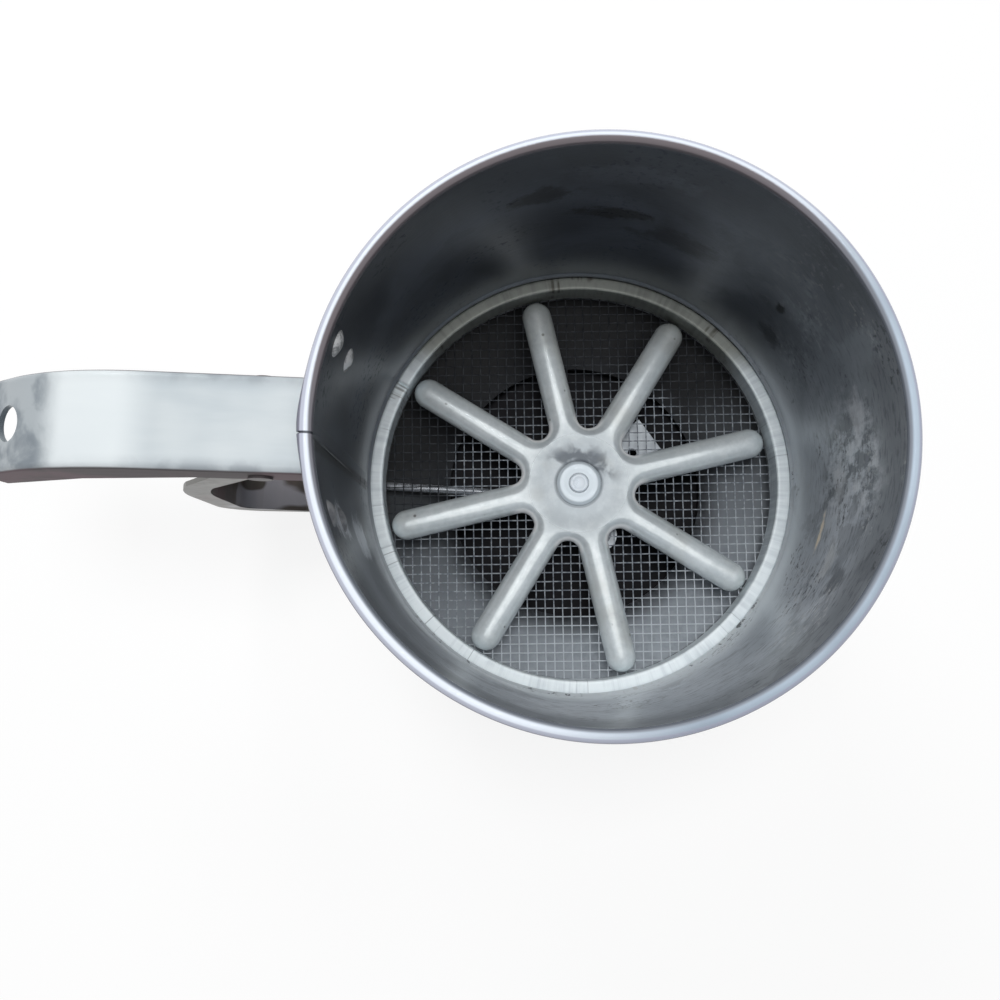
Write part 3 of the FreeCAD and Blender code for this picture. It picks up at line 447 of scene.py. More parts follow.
def star_tin():
    """The star: pale tin, with a painted darker reflection on its hub, painted highlights round
    its notches, painted shadow in the groove round the rivet head and at the dome's foot, a stain
    beside the dome, painted shade on the far arm tips, and dots on the arms."""
    finish = Finish("star_tin", {})
    reach = finish.reach()
    cloud = finish.noise(70.0, 5.0)
    fine = finish.noise(600.0, 3.0, 0.6)
    tone = finish.band(cloud * 0.6 + fine * 0.4, 0.38, 0.62)
    colour = finish.mix(tone, srgb(222, 230, 233), srgb(243, 250, 252))
    # Painted reflection: the hub is painted a darker grey.
    hub = finish.band(reach + (cloud - 0.5) * 0.006, 0.0165, 0.0075)
    hub = hub * finish.band(reach, 0.0046, 0.0058)
    colour = finish.mix(hub * 0.45, colour, srgb(158, 167, 176))
    fold = (finish.turn() - math.radians(STAR_TURN)) * (0.5 / ARM_SPREAD)
    away = (finish.maths("FRACT", fold) - 0.5) * (2 * ARM_SPREAD)
    along = reach * finish.maths("COSINE", away) - math.hypot(*NOTCH) * MM
    aside = reach * finish.maths("SINE", away)
    # Painted highlights round the notches' edges, made brighter still with less metal there.
    edge = finish.band((along * along + aside * aside) ** 0.5, 0.0040, 0.0033)
    edge = edge * finish.band(reach, 0.018, 0.015) * (0.5 + cloud * 0.6)
    colour = finish.mix(edge * 0.9, colour, srgb(255, 255, 255))
    dome = finish.band(reach, 0.0054, 0.0050)
    colour = finish.mix(dome, colour, srgb(226, 236, 243))
    # Painted shadow in the groove round the rivet head.
    groove = finish.band(abs(reach - 0.0023), 0.00022, 0.00008)
    colour = finish.mix(groove * 0.7, colour, srgb(96, 104, 114))
    # Painted shade at the dome's foot.
    lip = finish.band(abs(reach - 0.0056), 0.0005, 0.0001)
    colour = finish.mix(lip * 0.45, colour, srgb(110, 118, 128))
    upper = finish.band(finish.axis("Y") + finish.axis("X") * 0.2, 0.001, 0.005)
    smear = finish.band(finish.noise(230.0, 3.0, 0.5, distortion=0.4), 0.4, 0.62)
    stain = finish.band(reach, 0.0112, 0.0075) * upper * smear * (1.0 - dome)
    colour = finish.mix(stain * 0.7, colour, srgb(88, 94, 104))
    mark = finish.spots(240.0, 0.12) * finish.band(finish.noise(75.0), 0.5, 0.56)
    colour = finish.mix(mark * 0.75, colour, srgb(92, 88, 86))
    tarnish = finish.band(finish.noise(38.0, 4.0, 0.6), 0.52, 0.68)
    colour = finish.mix(tarnish * 0.35, colour, srgb(160, 158, 146))
    # Painted shade on the tips of the far arms.
    tip = finish.band(reach, 0.027, 0.043) * finish.band(finish.axis("Y"), 0.004, 0.03)
    colour = finish.mix(tip * 0.25, colour, srgb(120, 122, 122))
    finish.drive("Base Color", colour)
    finish.drive("Metallic", 0.5 - edge * 0.45 - dome * 0.2)
    finish.drive("Roughness", 0.21 + (cloud - 0.5) * 0.16 + hub * 0.12 + stain * 0.2)
    finish.bump(fine * 0.5 + cloud * 0.9, 0.14, 0.0003)
    return finish.done()


def strap_tin():
    """The handle: bright satin tin with fine rubbing along it and a painted highlight over its
    arch, darker where it bends down and along its edges with painted shade and smudges, and with
    a painted dark reflection, tinted red, on its sides."""
    finish = Finish("strap_tin", {"Metallic": 0.5})
    cloud = finish.noise(28.0, 3.0)
    rub = finish.noise(260.0, 3.0, vector=finish.stretched(0.12, 1.0, 1.0))
    tone = finish.band(cloud * 0.75 + rub * 0.25, 0.36, 0.62)
    colour = finish.mix(tone, srgb(180, 190, 196), srgb(204, 211, 214))
    # Painted highlight over the strap's arch.
    bend = finish.band(finish.axis("X") + (cloud - 0.5) * 0.012, -0.076, -0.084)
    colour = finish.mix(bend * 0.75, colour, srgb(228, 234, 236))
    # Painted shade and smudges darken the end where the strap bends down.
    end = finish.band(finish.axis("X"), -0.0925, -0.0985)
    smudge = finish.band(finish.noise(150.0, distortion=0.3), 0.4, 0.62)
    colour = finish.mix(end * (0.6 + smudge * 0.35), colour, srgb(116, 125, 133))
    across = abs(finish.axis("Y"))
    # Painted shade and smudges darken the long edges.
    edge = finish.band(across, 0.0056, 0.0082) * (0.3 + smudge * 0.4)
    colour = finish.mix(edge * (1.0 - bend * 0.8), colour, srgb(132, 139, 147))
    # Painted dark reflection on the strap's sides.
    side = finish.band(across, 0.0081, 0.00845)
    colour = finish.mix(side, colour, srgb(80, 74, 76))
    # Painted reddish reflection on the sides.
    red_reflection = finish.band(finish.noise(75.0, 3.0, 0.5, finish.stretched(1.0, 1.0, 0.6)), 0.5, 0.62)
    colour = finish.mix(side * red_reflection * 0.6, colour, srgb(112, 90, 97))
    finish.drive("Base Color", colour)
    finish.drive("Roughness", 0.34 + (rub - 0.5) * 0.16 + side * 0.35)
    finish.bump(rub, 0.08, 0.0002)
    return finish.done()


def trigger_tin():
    """The trigger: dull brownish tin, with painted shade on its inner faces, painted glints and
    painted reddish reflections.
    """
    finish = Finish("trigger_tin", {"Metallic": 0.3})
    cloud = finish.noise(60.0)
    rub = finish.noise(420.0, 3.0, vector=finish.stretched(1.0, 0.2, 1.0))
    tone = finish.band(cloud * 0.7 + rub * 0.3, 0.38, 0.6)
    colour = finish.mix(tone, srgb(66, 64, 60), srgb(90, 88, 83))
    # Painted shade on the faces that look towards the can.
    inner = finish.band(finish.facing("X"), -0.1, 0.35)
    colour = finish.mix(inner, colour, finish.mix(tone, srgb(58, 52, 48), srgb(80, 73, 68)))
    # Painted glints.
    glint = finish.band(finish.noise(75.0, 2.0, 0.4, distortion=0.5), 0.58, 0.66)
    colour = finish.mix(glint * 0.5, colour, srgb(168, 167, 175))
    # Painted reddish reflection.
    red_reflection = finish.band(finish.noise(52.0, 2.0, 0.5), 0.55, 0.64)
    colour = finish.mix(red_reflection * 0.45, colour, srgb(82, 54, 55))
    finish.drive("Base Color", colour)
    finish.drive("Roughness", 0.36 + (rub - 0.5) * 0.2)
    finish.bump(rub, 0.1, 0.0002)
    return finish.done()


def rivet_tin():
    """The handle's rivets: rubbed whitish above the handle's line and dull below it."""
    finish = Finish("rivet_tin", {"Metallic": 0.3})
    blot = finish.noise(420.0, 4.0, 0.6)
    low = finish.band(finish.axis("Y"), 0.002, -0.002)
    light = finish.mix(finish.band(blot, 0.42, 0.58), srgb(150, 149, 150), srgb(240, 240, 240))
    colour = finish.mix(low * 0.8, light, srgb(104, 106, 112))
    finish.drive("Base Color", colour)
    finish.drive("Roughness", 0.34 + (blot - 0.5) * 0.3)
    finish.bump(blot, 0.2, 0.0002)
    return finish.done()


def funnel_tin():
    """The sloped base: grey tin, with painted shadow darkening it towards its outlet and at the
    far side.
    """
    finish = Finish("funnel_tin", {"Metallic": 0.3})
    cloud = finish.noise(60.0, 5.0)
    fine = finish.noise(500.0, 3.0, 0.6)
    # Painted shadow: darker at the far side, and near black towards the outlet.
    near = finish.axis("X") * 0.3 - finish.axis("Y")
    lit = finish.band(near + (cloud - 0.5) * 0.02, -0.02, 0.054)
    tone = finish.mix(lit, srgb(14, 16, 20), srgb(172, 180, 188))
    rim = finish.band(finish.reach(), 0.0315, 0.0385)
    tone = finish.mix(rim, srgb(20, 23, 28), tone)
    colour = finish.mix(finish.band(fine, 0.35, 0.65) * lit * 0.3, tone, srgb(120, 126, 134))
    finish.drive("Base Color", colour)
    finish.drive("Roughness", 0.42 + (cloud - 0.5) * 0.2)
    finish.bump(fine, 0.1, 0.0002)
    return finish.done()


def cloth_tin():
    """The woven wire: painted pale with light over the funnel on the near side, and painted dark
    with shadow towards the far side.
    """
    finish = Finish("cloth_tin", {"Metallic": 0.35})
    cloud = finish.noise(40.0, 4.0)
    glint = finish.noise(900.0, 2.0)
    # Painted shadow towards the far side, and painted light over the funnel on the near side.
    far = finish.axis("Y") - finish.axis("X") * 0.4 + (cloud - 0.5) * 0.014
    outside = finish.band(finish.reach(), 0.028, 0.033)
    dark = finish.band(far, -0.006, 0.012) * outside
    dark = finish.maths("MAXIMUM", dark, finish.band(far, 0.01, 0.032))
    colour = finish.mix(finish.band(glint, 0.35, 0.7), srgb(104, 111, 120), srgb(178, 185, 192))
    colour = finish.mix(dark * 0.9, colour, srgb(16, 18, 22))
    near = finish.band(far, -0.012, -0.04)
    colour = finish.mix(outside * (1.0 - dark) * (0.1 + near * 0.7), colour, srgb(214, 221, 227))
    finish.drive("Base Color", colour)
    finish.drive("Roughness", 0.4 + (glint - 0.5) * 0.2)
    finish.bump(glint, 0.05, 0.0001)
    return finish.done()


def floor_finish():
    """The pale floor, with a painted shadow where the can stands on it. Away from the can it
    lightens for what looks at it, and keeps the shadow."""
    finish = Finish("floor_finish", {"Roughness": 0.9, "Specular IOR Level": 0.0})
    open_floor = finish.band(finish.reach(), 0.049, 0.051)
    # Painted shadow under the can.
    finish.drive("Base Color", finish.mix(open_floor, PAINTED_SHADOW_UNDER_CAN, FLOOR))
    white = finish.node("ShaderNodeEmission", sockets={"Color": WHITE, "Strength": 1.0})
    share = finish.looked_at() * open_floor * FLOOR_LIFT
    sockets = {0: share, 1: finish.surface, 2: white}
    finish.surface = finish.node("ShaderNodeMixShader", sockets=sockets)
    return finish.done()


def add_piece(name, shape, body, finish, replaced, sharp=35):
    """A piece from points in millimetres and their faces, in one finish."""
    points, faces = shape
    mesh = bpy.data.meshes.new(name)
    mesh.from_pydata((np.asarray(points, float) * MM).tolist(), [], faces)
    mesh.validate()
    mesh.update()
    return dress(name, mesh, body, [finish], replaced, sharp=sharp)


def dress(name, mesh, body, finishes, replaced, finish_of=None, sharp=35):
    """An object of a finished mesh, with its finishes, its body and the nodes it stands for.
    finish_of picks a face's finish from its middle in millimetres and its normal."""
    mesh.materials.clear()
    for finish in finishes:
        mesh.materials.append(finish)
    mesh.polygons.foreach_set("use_smooth", [True] * len(mesh.polygons))
    mesh.set_sharp_from_angle(angle=math.radians(sharp))
    if finish_of:
        for face in mesh.polygons:
            face.material_index = finish_of(face.center / MM, face.normal)
    obj = bpy.data.objects.new(name, mesh)
    bpy.context.scene.collection.objects.link(obj)
    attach(obj, body)
    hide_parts(*replaced)
    return obj


def finish_node(finish, *nodes):
    """Gives CAD nodes their finish."""
    for node in nodes:
        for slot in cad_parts[node].material_slots:
            slot.material = finish


def grid_faces(rows, columns, rows_close, columns_close):
    """The faces between a grid's points, which are kept row by row. The last row may close on
    the first, and the last column too."""
    faces = []
    for row in range(rows if rows_close else rows - 1):
        here, following = row * columns, (row + 1) % rows * columns
        for column in range(columns if columns_close else columns - 1):
            beside = (column + 1) % columns
            faces.append((here + column, following + column, following + beside, here + beside))
    return faces


def turned(profile, angles, warp=None):
    """Points and faces of a closed profile of radius and height, turned once round Z."""
    profile = np.asarray(profile, float)
    angles = np.radians(np.asarray(angles, float))
    radius, turn = np.meshgrid(profile[:, 0], angles)
    height = np.meshgrid(profile[:, 1], angles)[0]
    if warp:
        radius, height = warp(radius, height, turn)
    points = np.stack([radius * np.cos(turn), radius * np.sin(turn), height], axis=-1)
    return points.reshape(-1, 3), grid_faces(*radius.shape, True, True)


def eased(value, start, end):
    """0 at start, 1 at end, and smooth between."""
    share = np.clip((value - start) / (end - start), 0, 1)
    return share * share * (3 - 2 * share)


def arc(centre, radius, start, end, count):
    """Points of an arc, from one angle to another in degrees."""
    turns = np.radians(np.linspace(start, end, count))
    return [(centre[0] + radius * math.cos(t), centre[1] + radius * math.sin(t)) for t in turns]


def tube(path, radius, sides):
    """Points and faces of a round bar along a path, without twist, closed at both ends."""
    path = np.asarray(path, float)
    ways = np.gradient(path, axis=0)
    ways /= np.linalg.norm(ways, axis=1)[:, None]
    side = np.cross(ways[0], (0.13, 0.27, 0.95))
    side /= np.linalg.norm(side)
    points = []
    for place, way in zip(path, ways):
        side = side - way * side.dot(way)
        side /= np.linalg.norm(side)
        other = np.cross(way, side)
        for step in range(sides):
            turn = 2 * math.pi * step / sides
            points.append(place + radius * (side * math.cos(turn) + other * math.sin(turn)))
    faces = [(a, d, c, b) for a, b, c, d in grid_faces(len(path), sides, False, True)]
    faces.append(tuple(range(sides))[::-1])
    faces.append(tuple(range(len(points) - sides, len(points))))
    return np.asarray(points), faces


def joined(parts):
    """Several lots of points and faces as one."""
    points, faces, start = [], [], 0
    for lot, lot_faces in parts:
        points.append(lot)
        faces += [tuple(start + index for index in face) for face in lot_faces]
        start += len(lot)
    return np.concatenate(points), faces


def ridge_at(height):
    """How far the pressed ridges push the wall in at a height."""
    depth = 0
    for middle in RIDGES:
        share = np.clip(abs(height - middle) / RIDGE_HALF, 0, 1)
        depth = depth + RIDGE_DEPTH * (0.5 + 0.5 * np.cos(math.pi * share)) ** 0.8
    return depth


def can_profile():
    """The can's outline of radius and height, in its four parts: up the inner face, round the
    curl and back, down the outer face, and round the hem."""
    heights = [0.8, 2.0]
    for middle in RIDGES:
        heights += list(np.arange(middle - 1.35, middle + 1.36, 0.15))
    heights += list(np.arange(29.0, 95.0, 3.0))
    heights = sorted(set(round(h, 3) for h in heights))
    inner = [(WALL_INNER, h) for h in heights]
    curl = arc(CURL_CENTRE, CURL_RADIUS, 180, -110, 34)
    curl += arc(CURL_CENTRE, CURL_RADIUS - SHEET, -110, 180, 26)
    outer = [(WALL_OUTER, h) for h in reversed(heights) if h > HEM_HEIGHT]
    hem = [(WALL_OUTER, HEM_HEIGHT), (WALL_OUTER, 1.2), (50.12, 1.2), (50.12, 2.45), (50.3, 2.6)]
    hem += [(50.75, 2.6), (HEM_OUTER, 2.3)]
    hem += arc((50.25, 0.75), 0.75, 0, -180, 12)
    return inner, curl, outer, hem


def make_can(inside, outside, bead):
    """The can: a ridged wall with a lap seam, a curled rim that swells at the seam and has its
    nick, and a folded hem."""
    parts = can_profile()
    lot = np.repeat(np.arange(4), [len(part) for part in parts])[None, :]
    is_inner, is_curl, is_wall = lot == 0, lot == 1, (lot == 0) | (lot == 2)

    def warp(radius, height, turn):
        """Presses the ridges, laps the seam, ripples the wall and shapes the rim by the seam."""
        side = np.sin(turn) * radius
        lap = 1 - eased(abs(side + SEAM_MIDDLE), SEAM_HALF - 0.2, SEAM_HALF)
        by_seam = np.where(np.cos(turn) < 0, lap, 0)
        above = eased(height, 27.6, 28.2)
        radius = radius - np.where(is_wall, ridge_at(height), 0)
        radius = radius - np.where(is_inner, LAP_DEPTH * by_seam * above, 0)
        ripple = 0.05 * np.sin(turn * 5 + height * 0.05)
        ripple = ripple + 0.04 * np.sin(turn * 11 - height * 0.11)
        free = eased(height, 29, 40) * (1 - eased(height, 86, 94))
        radius = radius + np.where(is_wall, (ripple - 0.09) * free * (1 - by_seam), 0)
        notched = 1 - eased(abs(side + NICK_MIDDLE), 0.05, 0.2)
        nick = np.where(np.cos(turn) < 0, notched, 0)
        away = (np.degrees(turn) - 180.5 + 180) % 360 - 180
        swell = np.exp(-((away / 6.5) ** 2)) * (1 - 0.5 * nick)
        shrink = 1 - np.where(is_curl, 0.14 * nick - 0.16 * swell, 0)
        radius = CURL_CENTRE[0] + (radius - CURL_CENTRE[0]) * np.where(is_curl, shrink, 1)
        radius = radius + np.where(is_curl, 0.35 * swell, 0)
        flat = np.where(is_curl, np.minimum(shrink, 1.0), 1)
        return radius, CURL_CENTRE[1] + (height - CURL_CENTRE[1]) * flat

    def finish_of(middle, normal):
        """The bead's finish over the wall, and else the one of the side that a face is on."""
        if middle.z > 94.6:
            return 2
        return 0 if middle.x * normal.x + middle.y * normal.y < 0 and middle.z > 1.0 else 1

    by_the_seam = 180 + np.arange(-2.4, 4.01, 0.1)
    angles = np.unique(np.round(np.concatenate([np.arange(0, 360, 1.125), by_the_seam]), 3))
    mesh = with_slot(turned(sum(parts, []), angles, warp))
    finishes = [inside, outside, bead]
    dress("can_shell", mesh, "root", finishes, ["can_body"], finish_of)


def helper(name, points, faces):
    """An object of points in millimetres that only helps to build a piece."""
    mesh = bpy.data.meshes.new(name)
    mesh.from_pydata((np.asarray(points) * MM).tolist(), [], faces)
    obj = bpy.data.objects.new(name, mesh)
    bpy.context.scene.collection.objects.link(obj)
    return obj


def with_slot(shape):
    """The wall's mesh with the link's slot cut through it."""
    wall = helper("can_wall_uncut", *shape)
    cutter = helper("slot_cutter", *slot_bar())
    cut = wall.modifiers.new("link_slot", "BOOLEAN")
    cut.operation = "DIFFERENCE"
    cut.object = cutter
    cut.solver = "EXACT"
    graph = bpy.context.evaluated_depsgraph_get()
    mesh = bpy.data.meshes.new_from_object(wall.evaluated_get(graph))
    for obj in (wall, cutter):
        bpy.data.objects.remove(obj)
    return mesh


def slot_bar():
    """Points and faces of the bar with rounded corners that opens the link's slot."""
    low, high = SLOT_SIDES[0] + SLOT_ROUND, SLOT_SIDES[1] - SLOT_ROUND
    over, under = SLOT_LEVEL + SLOT_HALF - SLOT_ROUND, SLOT_LEVEL - SLOT_HALF + SLOT_ROUND
    ends = []
    for quarter, corner in enumerate(((high, over), (low, over), (low, under), (high, under))):
        ends += arc(corner, SLOT_ROUND, 90 * quarter, 90 * quarter + 90, 5)
    count = len(ends)
    points = [(x, y, z) for x in (-45.0, -55.0) for y, z in ends]
    faces = [tuple(range(count)), tuple(range(2 * count - 1, count - 1, -1))]
    for index in range(count):
        beside = (index + 1) % count
        faces.append((index, index + count, beside + count, beside))
    return points, faces


def make_ring(finish):
    """The ring over the screen: a turned-over channel, crimped all round and butted once."""
    spread = random.Random(41)
    marks = [
        (spread.uniform(0, 360), spread.uniform(0.25, 0.9), spread.uniform(0.02, 0.1))
        for _ in range(44)
    ]
    top = RING_TOP
    profile = [(RING_INNER, RING_LOW), (RING_INNER, 21.0), (RING_INNER, top - 0.8)]
    profile += arc((RING_INNER + 0.6, top - 0.6), 0.6, 180, 90, 6)
    profile += [(47.3, top), (47.9, top), (48.4, top)]
    profile += arc((RING_OUTER - 0.4, top - 0.4), 0.4, 90, 0, 4)
    profile += [(RING_OUTER, top - 1.0), (RING_OUTER - 0.4, top - 1.0)]
    profile += [(RING_INNER + 0.5, top - 0.7), (RING_INNER + 0.5, 18.3)]
    profile += [(RING_OUTER, 18.3), (RING_OUTER, RING_LOW)]
    middle_share = 1 - abs(np.asarray(profile)[:, 0] - 47.75) / 1.6

    def warp(radius, height, turn):
        """Sinks the ring's top at its crimps and at the butt."""
        degrees = np.degrees(turn)
        sink = 0.05 * np.sin(turn * 17) * np.sin(turn * 7 + 1)
        for place, width, depth in marks:
            apart = (degrees - place + 180) % 360 - 180
            sink = sink + depth * np.exp(-((apart / width) ** 2))
        apart = (degrees - BUTT_DEGREES + 180) % 360 - 180
        butt = 0.75 * np.exp(-((apart / 0.32) ** 2)) + 0.16 * eased(apart, -6, -0.3) * (apart < 0)
        on_top = eased(height, 23.4, 24.4)
        crimp = np.clip(sink, 0, 0.5) * np.clip(middle_share + 0.4, 0, 1)
        return radius, height - on_top * (0.06 + crimp + butt)

    shape = turned(profile, np.arange(0, 360, 0.3), warp)
    add_piece("screen_ring_bright", shape, "root", finish, ["screen_ring"])


def make_cloth(finish):
    """The woven wire cloth: every wire waves over and under those that cross it."""
    turn = math.radians(CLOTH_TURN)
    count = int(CLOTH_REACH / CLOTH_PITCH)
    rise = CLOTH_WIRE * 0.85
    spread = random.Random(7)
    wires = []
    for across in (0, 1):
        for index in range(-count, count + 1):
            side = index * CLOTH_PITCH
            drift = spread.uniform(-0.04, 0.04)
            end = math.sqrt(CLOTH_REACH**2 - side**2)
            runs = [(-end, end)]
            if abs(side) < CLOTH_HOLE:
                gap = math.sqrt(CLOTH_HOLE**2 - side**2)
                runs = [(-end, -gap), (gap, end)]
            for start, stop in runs:
                steps = max(4, int((stop - start) / CLOTH_PITCH * 4))
                along = np.linspace(start, stop, steps + 1)
                wave = np.cos(math.pi * along / CLOTH_PITCH) * (-1) ** (index + across)
                height = CLOTH_MIDDLE + rise * wave
                aside = side + drift + 0.02 * np.sin(along * 0.21 + index)
                if across:
                    flat = np.stack([aside, along, height], axis=1)
                else:
                    flat = np.stack([along, aside, height], axis=1)
                x = flat[:, 0] * math.cos(turn) - flat[:, 1] * math.sin(turn)
                y = flat[:, 0] * math.sin(turn) + flat[:, 1] * math.cos(turn)
                wires.append(tube(np.stack([x, y, flat[:, 2]], axis=1), CLOTH_WIRE, 6))
    shape = joined(wires)
    add_piece("wire_cloth_woven", shape, "root", finish, ["mesh_screen"], sharp=80)


def arm_half_width(reach):
    """Half the width of an arm at a distance along its line: up to the next arms beside the
    hub, then round the notch, along the straight, and round the tip."""
    if reach <= NOTCH[0] - NOTCH_RADIUS * math.cos(ARM_SPREAD):
        return reach * math.tan(ARM_SPREAD)
    if reach <= NOTCH[0]:
        return NOTCH[1] - math.sqrt(NOTCH_RADIUS**2 - (reach - NOTCH[0]) ** 2)
    if reach <= ARM_TIP:
        return ARM_HALF
    return math.sqrt(max(ARM_HALF**2 - (reach - ARM_TIP) ** 2, 0))


def star_height(along, aside):
    """The height of the star's upper face over its lower edge, beside an arm's line. The sheet
    rolls down at every edge, gently beside the hub and as a half-round along the arms."""
    reach = math.hypot(along, aside)
    if along < NOTCH[0]:
        inside = math.hypot(along - NOTCH[0], abs(aside) - NOTCH[1]) - NOTCH_RADIUS
    else:
        inside = ARM_HALF - math.hypot(aside, max(along - ARM_TIP, 0))
    inside = min(max(inside, 0), ARM_HALF)
    hub = HUB_RISE * (1 - (1 - min(inside / HUB_ROLL, 1)) ** 2)
    arm = math.sqrt(max(ARM_HALF**2 - (ARM_HALF - inside) ** 2, 0))
    share = float(eased(along, 6.5, 15.5))
    height = (1 - share) * hub + share * arm
    if reach < DOME_RADIUS + 1.5:
        shoulder = float(eased(reach, DOME_RADIUS + 0.35, DOME_RADIUS - 0.55))
        dip = 0.2 * (1 - float(eased(reach, 2.4, 3.6)))
        height = max(height, HUB_RISE + (DOME_TOP - STAR_LOW - HUB_RISE) * shoulder - dip)
    return height


def make_star(finish):
    """The star, pressed from one sheet: half-round arms that fade into a flat hub with a dome."""
    rows = list(np.arange(1.6, 8.0, 0.3)) + list(np.arange(8.0, 18.0, 0.25))
    rows += list(np.arange(18.0, ARM_TIP, 1.2))
    rows += [ARM_TIP + ARM_HALF * math.sin(math.radians(a)) for a in range(0, 91, 6)]
    rows[-1] = ARM_TIP + ARM_HALF * 0.9995
    columns = np.sin(np.radians(np.linspace(-90, 90, 31)))
    parts = []
    for arm in range(ARM_COUNT):
        turn = math.radians(STAR_TURN + 360 / ARM_COUNT * arm)
        points = []
        for row in rows:
            half = arm_half_width(row)
            straight = float(eased(row, 7.5, 12.6))
            for column in columns:
                bend = ARM_SPREAD * column
                along = (1 - straight) * row * math.cos(bend) + straight * row
                aside = (1 - straight) * row * math.sin(bend) + straight * half * column
                height = STAR_LOW + star_height(along, aside)
                points.append(
                    (
                        along * math.cos(turn) - aside * math.sin(turn),
                        along * math.sin(turn) + aside * math.cos(turn),
                        height,
                    )
                )
        parts.append((np.asarray(points), grid_faces(len(rows), len(columns), False, False)))
    shape = joined(parts)
    star = add_piece(
        "star_pressed", shape, "agitator", finish, ["agitator_star"], sharp=60
    )
    weld = star.modifiers.new("weld", "WELD")
    weld.merge_threshold = WELD_REACH * MM
    thick = star.modifiers.new("sheet", "SOLIDIFY")
    thick.thickness = STAR_SHEET * MM
    thick.offset = -1
    graph = bpy.context.evaluated_depsgraph_get()
    star.data = bpy.data.meshes.new_from_object(star.evaluated_get(graph))
    star.modifiers.clear()


def make_shaft(finish):
    """The shaft and its two closed rivet heads, the upper one with a groove round its middle."""
    head = DOME_TOP - 0.16
    profile = [(0.001, 11.7), (2.2, 11.7), (2.7, 11.95), (2.8, 12.2), (2.8, 12.48), (1.5, 12.48)]
    profile += [(1.5, 13.7), (2.0, 13.7), (2.0, 21.0), (1.5, 21.05), (1.5, head), (2.15, head)]
    profile += [(2.2, head + 0.15), (2.12, head + 0.34), (1.9, head + 0.46), (1.68, head + 0.5)]
    profile += [(1.56, head + 0.47), (1.42, head + 0.54), (1.0, head + 0.66), (0.5, head + 0.73)]
    profile += [(0.001, head + 0.75)]
    shape = turned(profile, np.arange(0, 360, 5))
    add_piece(
        "shaft_riveted", shape, "agitator", finish, ["agitator_shaft"], sharp=50
    )


def make_spring(finish):
    """The trigger's return spring, an open coil, built at one fixed length."""
    turns = np.linspace(0, 2 * math.pi * SPRING_TURNS, SPRING_TURNS * 30 + 1)
    path = np.stack(
        [
            SPRING_MIDDLE + SPRING_RADIUS * np.cos(turns),
            SPRING_RADIUS * np.sin(turns),
            SPRING_LOW + (SPRING_HIGH - SPRING_LOW) * turns / turns[-1],
        ],
        axis=1,
    )
    shape = tube(path, SPRING_WIRE, 10)
    spring = add_piece("return_spring", shape, "root", finish, ["trigger_spring"])
    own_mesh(spring)


def make_stage():
    """A pale floor under the object, and the world's light."""
    mesh = bpy.data.meshes.new("floor")
    mesh.from_pydata([(-3, -3, 0), (3, -3, 0), (3, 3, 0), (-3, 3, 0)], [], [(0, 1, 2, 3)])
    mesh.materials.append(floor_finish())
    floor = bpy.data.objects.new("floor", mesh)
    bpy.context.scene.collection.objects.link(floor)
    world = bpy.data.worlds.new("studio")
    bpy.context.scene.world = world
    nodes = Nodes(world)
    light = nodes.node("ShaderNodeBackground", sockets={"Color": SKY, "Strength": SKY_STRENGTH})
    white = nodes.node("ShaderNodeBackground", sockets={"Color": WHITE, "Strength": 1.0})
    sockets = {0: nodes.looked_at(), 1: light, 2: white}
    mixed = nodes.node("ShaderNodeMixShader", sockets=sockets)
    nodes.node("ShaderNodeOutputWorld", sockets={"Surface": mixed})


def make_lamp(name, place, target, size, watts):
    """A square soft lamp that faces a point, and leaves no glare on metal."""
    data = bpy.data.lights.new(name, "AREA")
    data.size = size
    data.energy = watts
    lamp = bpy.data.objects.new(name, data)
    bpy.context.scene.collection.objects.link(lamp)
    lamp.location = place
    way = lamp.location.copy()
    for index in range(3):
        way[index] = target[index] - place[index]
    lamp.rotation_euler = way.to_track_quat("-Z", "Y").to_euler()
    lamp.visible_glossy = False


def make_camera():
    """The camera, at the photograph's place over the can."""
    data = bpy.data.cameras.new("photograph_camera")
    data.lens = 37.912
    data.sensor_width = 36.0
    data.clip_start = 0.01
    camera = bpy.data.objects.new("photograph_camera", data)
    bpy.context.scene.collection.objects.link(camera)
    camera.location = (-0.017048, -0.031714, 0.269495)
    camera.rotation_euler = (0.1096, 0.0042, 0.0205)
    bpy.context.scene.camera = camera


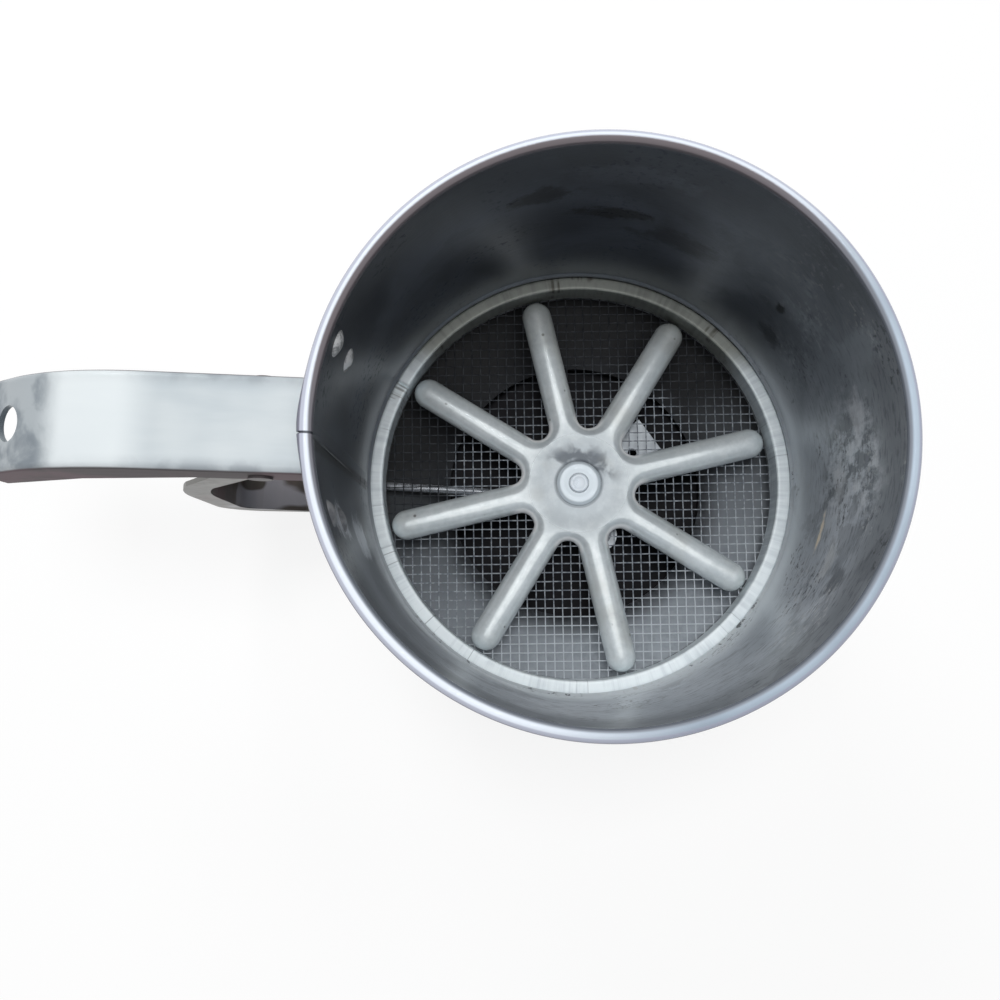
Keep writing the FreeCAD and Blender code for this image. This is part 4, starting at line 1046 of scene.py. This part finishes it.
outer_tin = rubbed_tin(
    "outer_tin", srgb(160, 166, 173), srgb(180, 187, 193), 0.3, grain=(1, 1, 0.3), dots=0.5
)
crank_steel = rubbed_tin(
    "crank_steel", srgb(196, 203, 210), srgb(230, 236, 241), 0.4, 0.3, (1, 0.2, 1), dots=0.5
)
pin_steel = rubbed_tin("pin_steel", srgb(70, 64, 66), srgb(92, 86, 88), 0.5, 0.2)
bracket_tin = rubbed_tin("bracket_tin", srgb(150, 156, 162), srgb(196, 202, 206), 0.34, dots=0.5)
clamp_tin = rubbed_tin("clamp_tin", srgb(110, 114, 118), srgb(150, 155, 160), 0.42)
closed_rivet = rubbed_tin("closed_rivet", srgb(228, 238, 248), srgb(244, 250, 255), 0.3, 0.12)
turned_steel = rubbed_tin("turned_steel", srgb(158, 164, 172), srgb(206, 212, 218), 0.28, 0.85)
link_steel = rubbed_tin("link_steel", srgb(190, 196, 204), srgb(228, 232, 238), 0.26, 0.75)
spring_steel = rubbed_tin("spring_steel", srgb(104, 108, 114), srgb(150, 155, 162), 0.3, 0.9)

make_can(stained_wall_tin(), outer_tin, bead_tin())
make_ring(ring_tin())
make_cloth(cloth_tin())
make_star(star_tin())
make_shaft(closed_rivet)
make_spring(spring_steel)
finish_node(strap_tin(), "handle")
finish_node(trigger_tin(), "trigger")
finish_node(bracket_tin, "handle_bracket")
finish_node(funnel_tin(), "base_funnel")
finish_node(clamp_tin, "clamp_ring")
finish_node(crank_steel, "crank_plate")
finish_node(turned_steel, "centre_bush", "bush_plate", "pivot_spacer")
finish_node(turned_steel, "upper_washer", "lower_washer")
finish_node(rivet_tin(), "handle_rivets")
finish_node(pin_steel, "trigger_pin")
finish_node(link_steel, "link_wire", "rim_wire")
finish_node(spring_steel, "link_clips")

make_stage()
make_lamp("key_lamp", (-0.02, 0.1, 0.85), (0, 0, 0.05), 0.24, 4.6)
make_lamp("side_lamp", (-0.26, 0.6, 0.58), (0, 0, 0.08), 0.3, 3.4)
make_camera()
bpy.context.scene.view_settings.view_transform = "Standard"
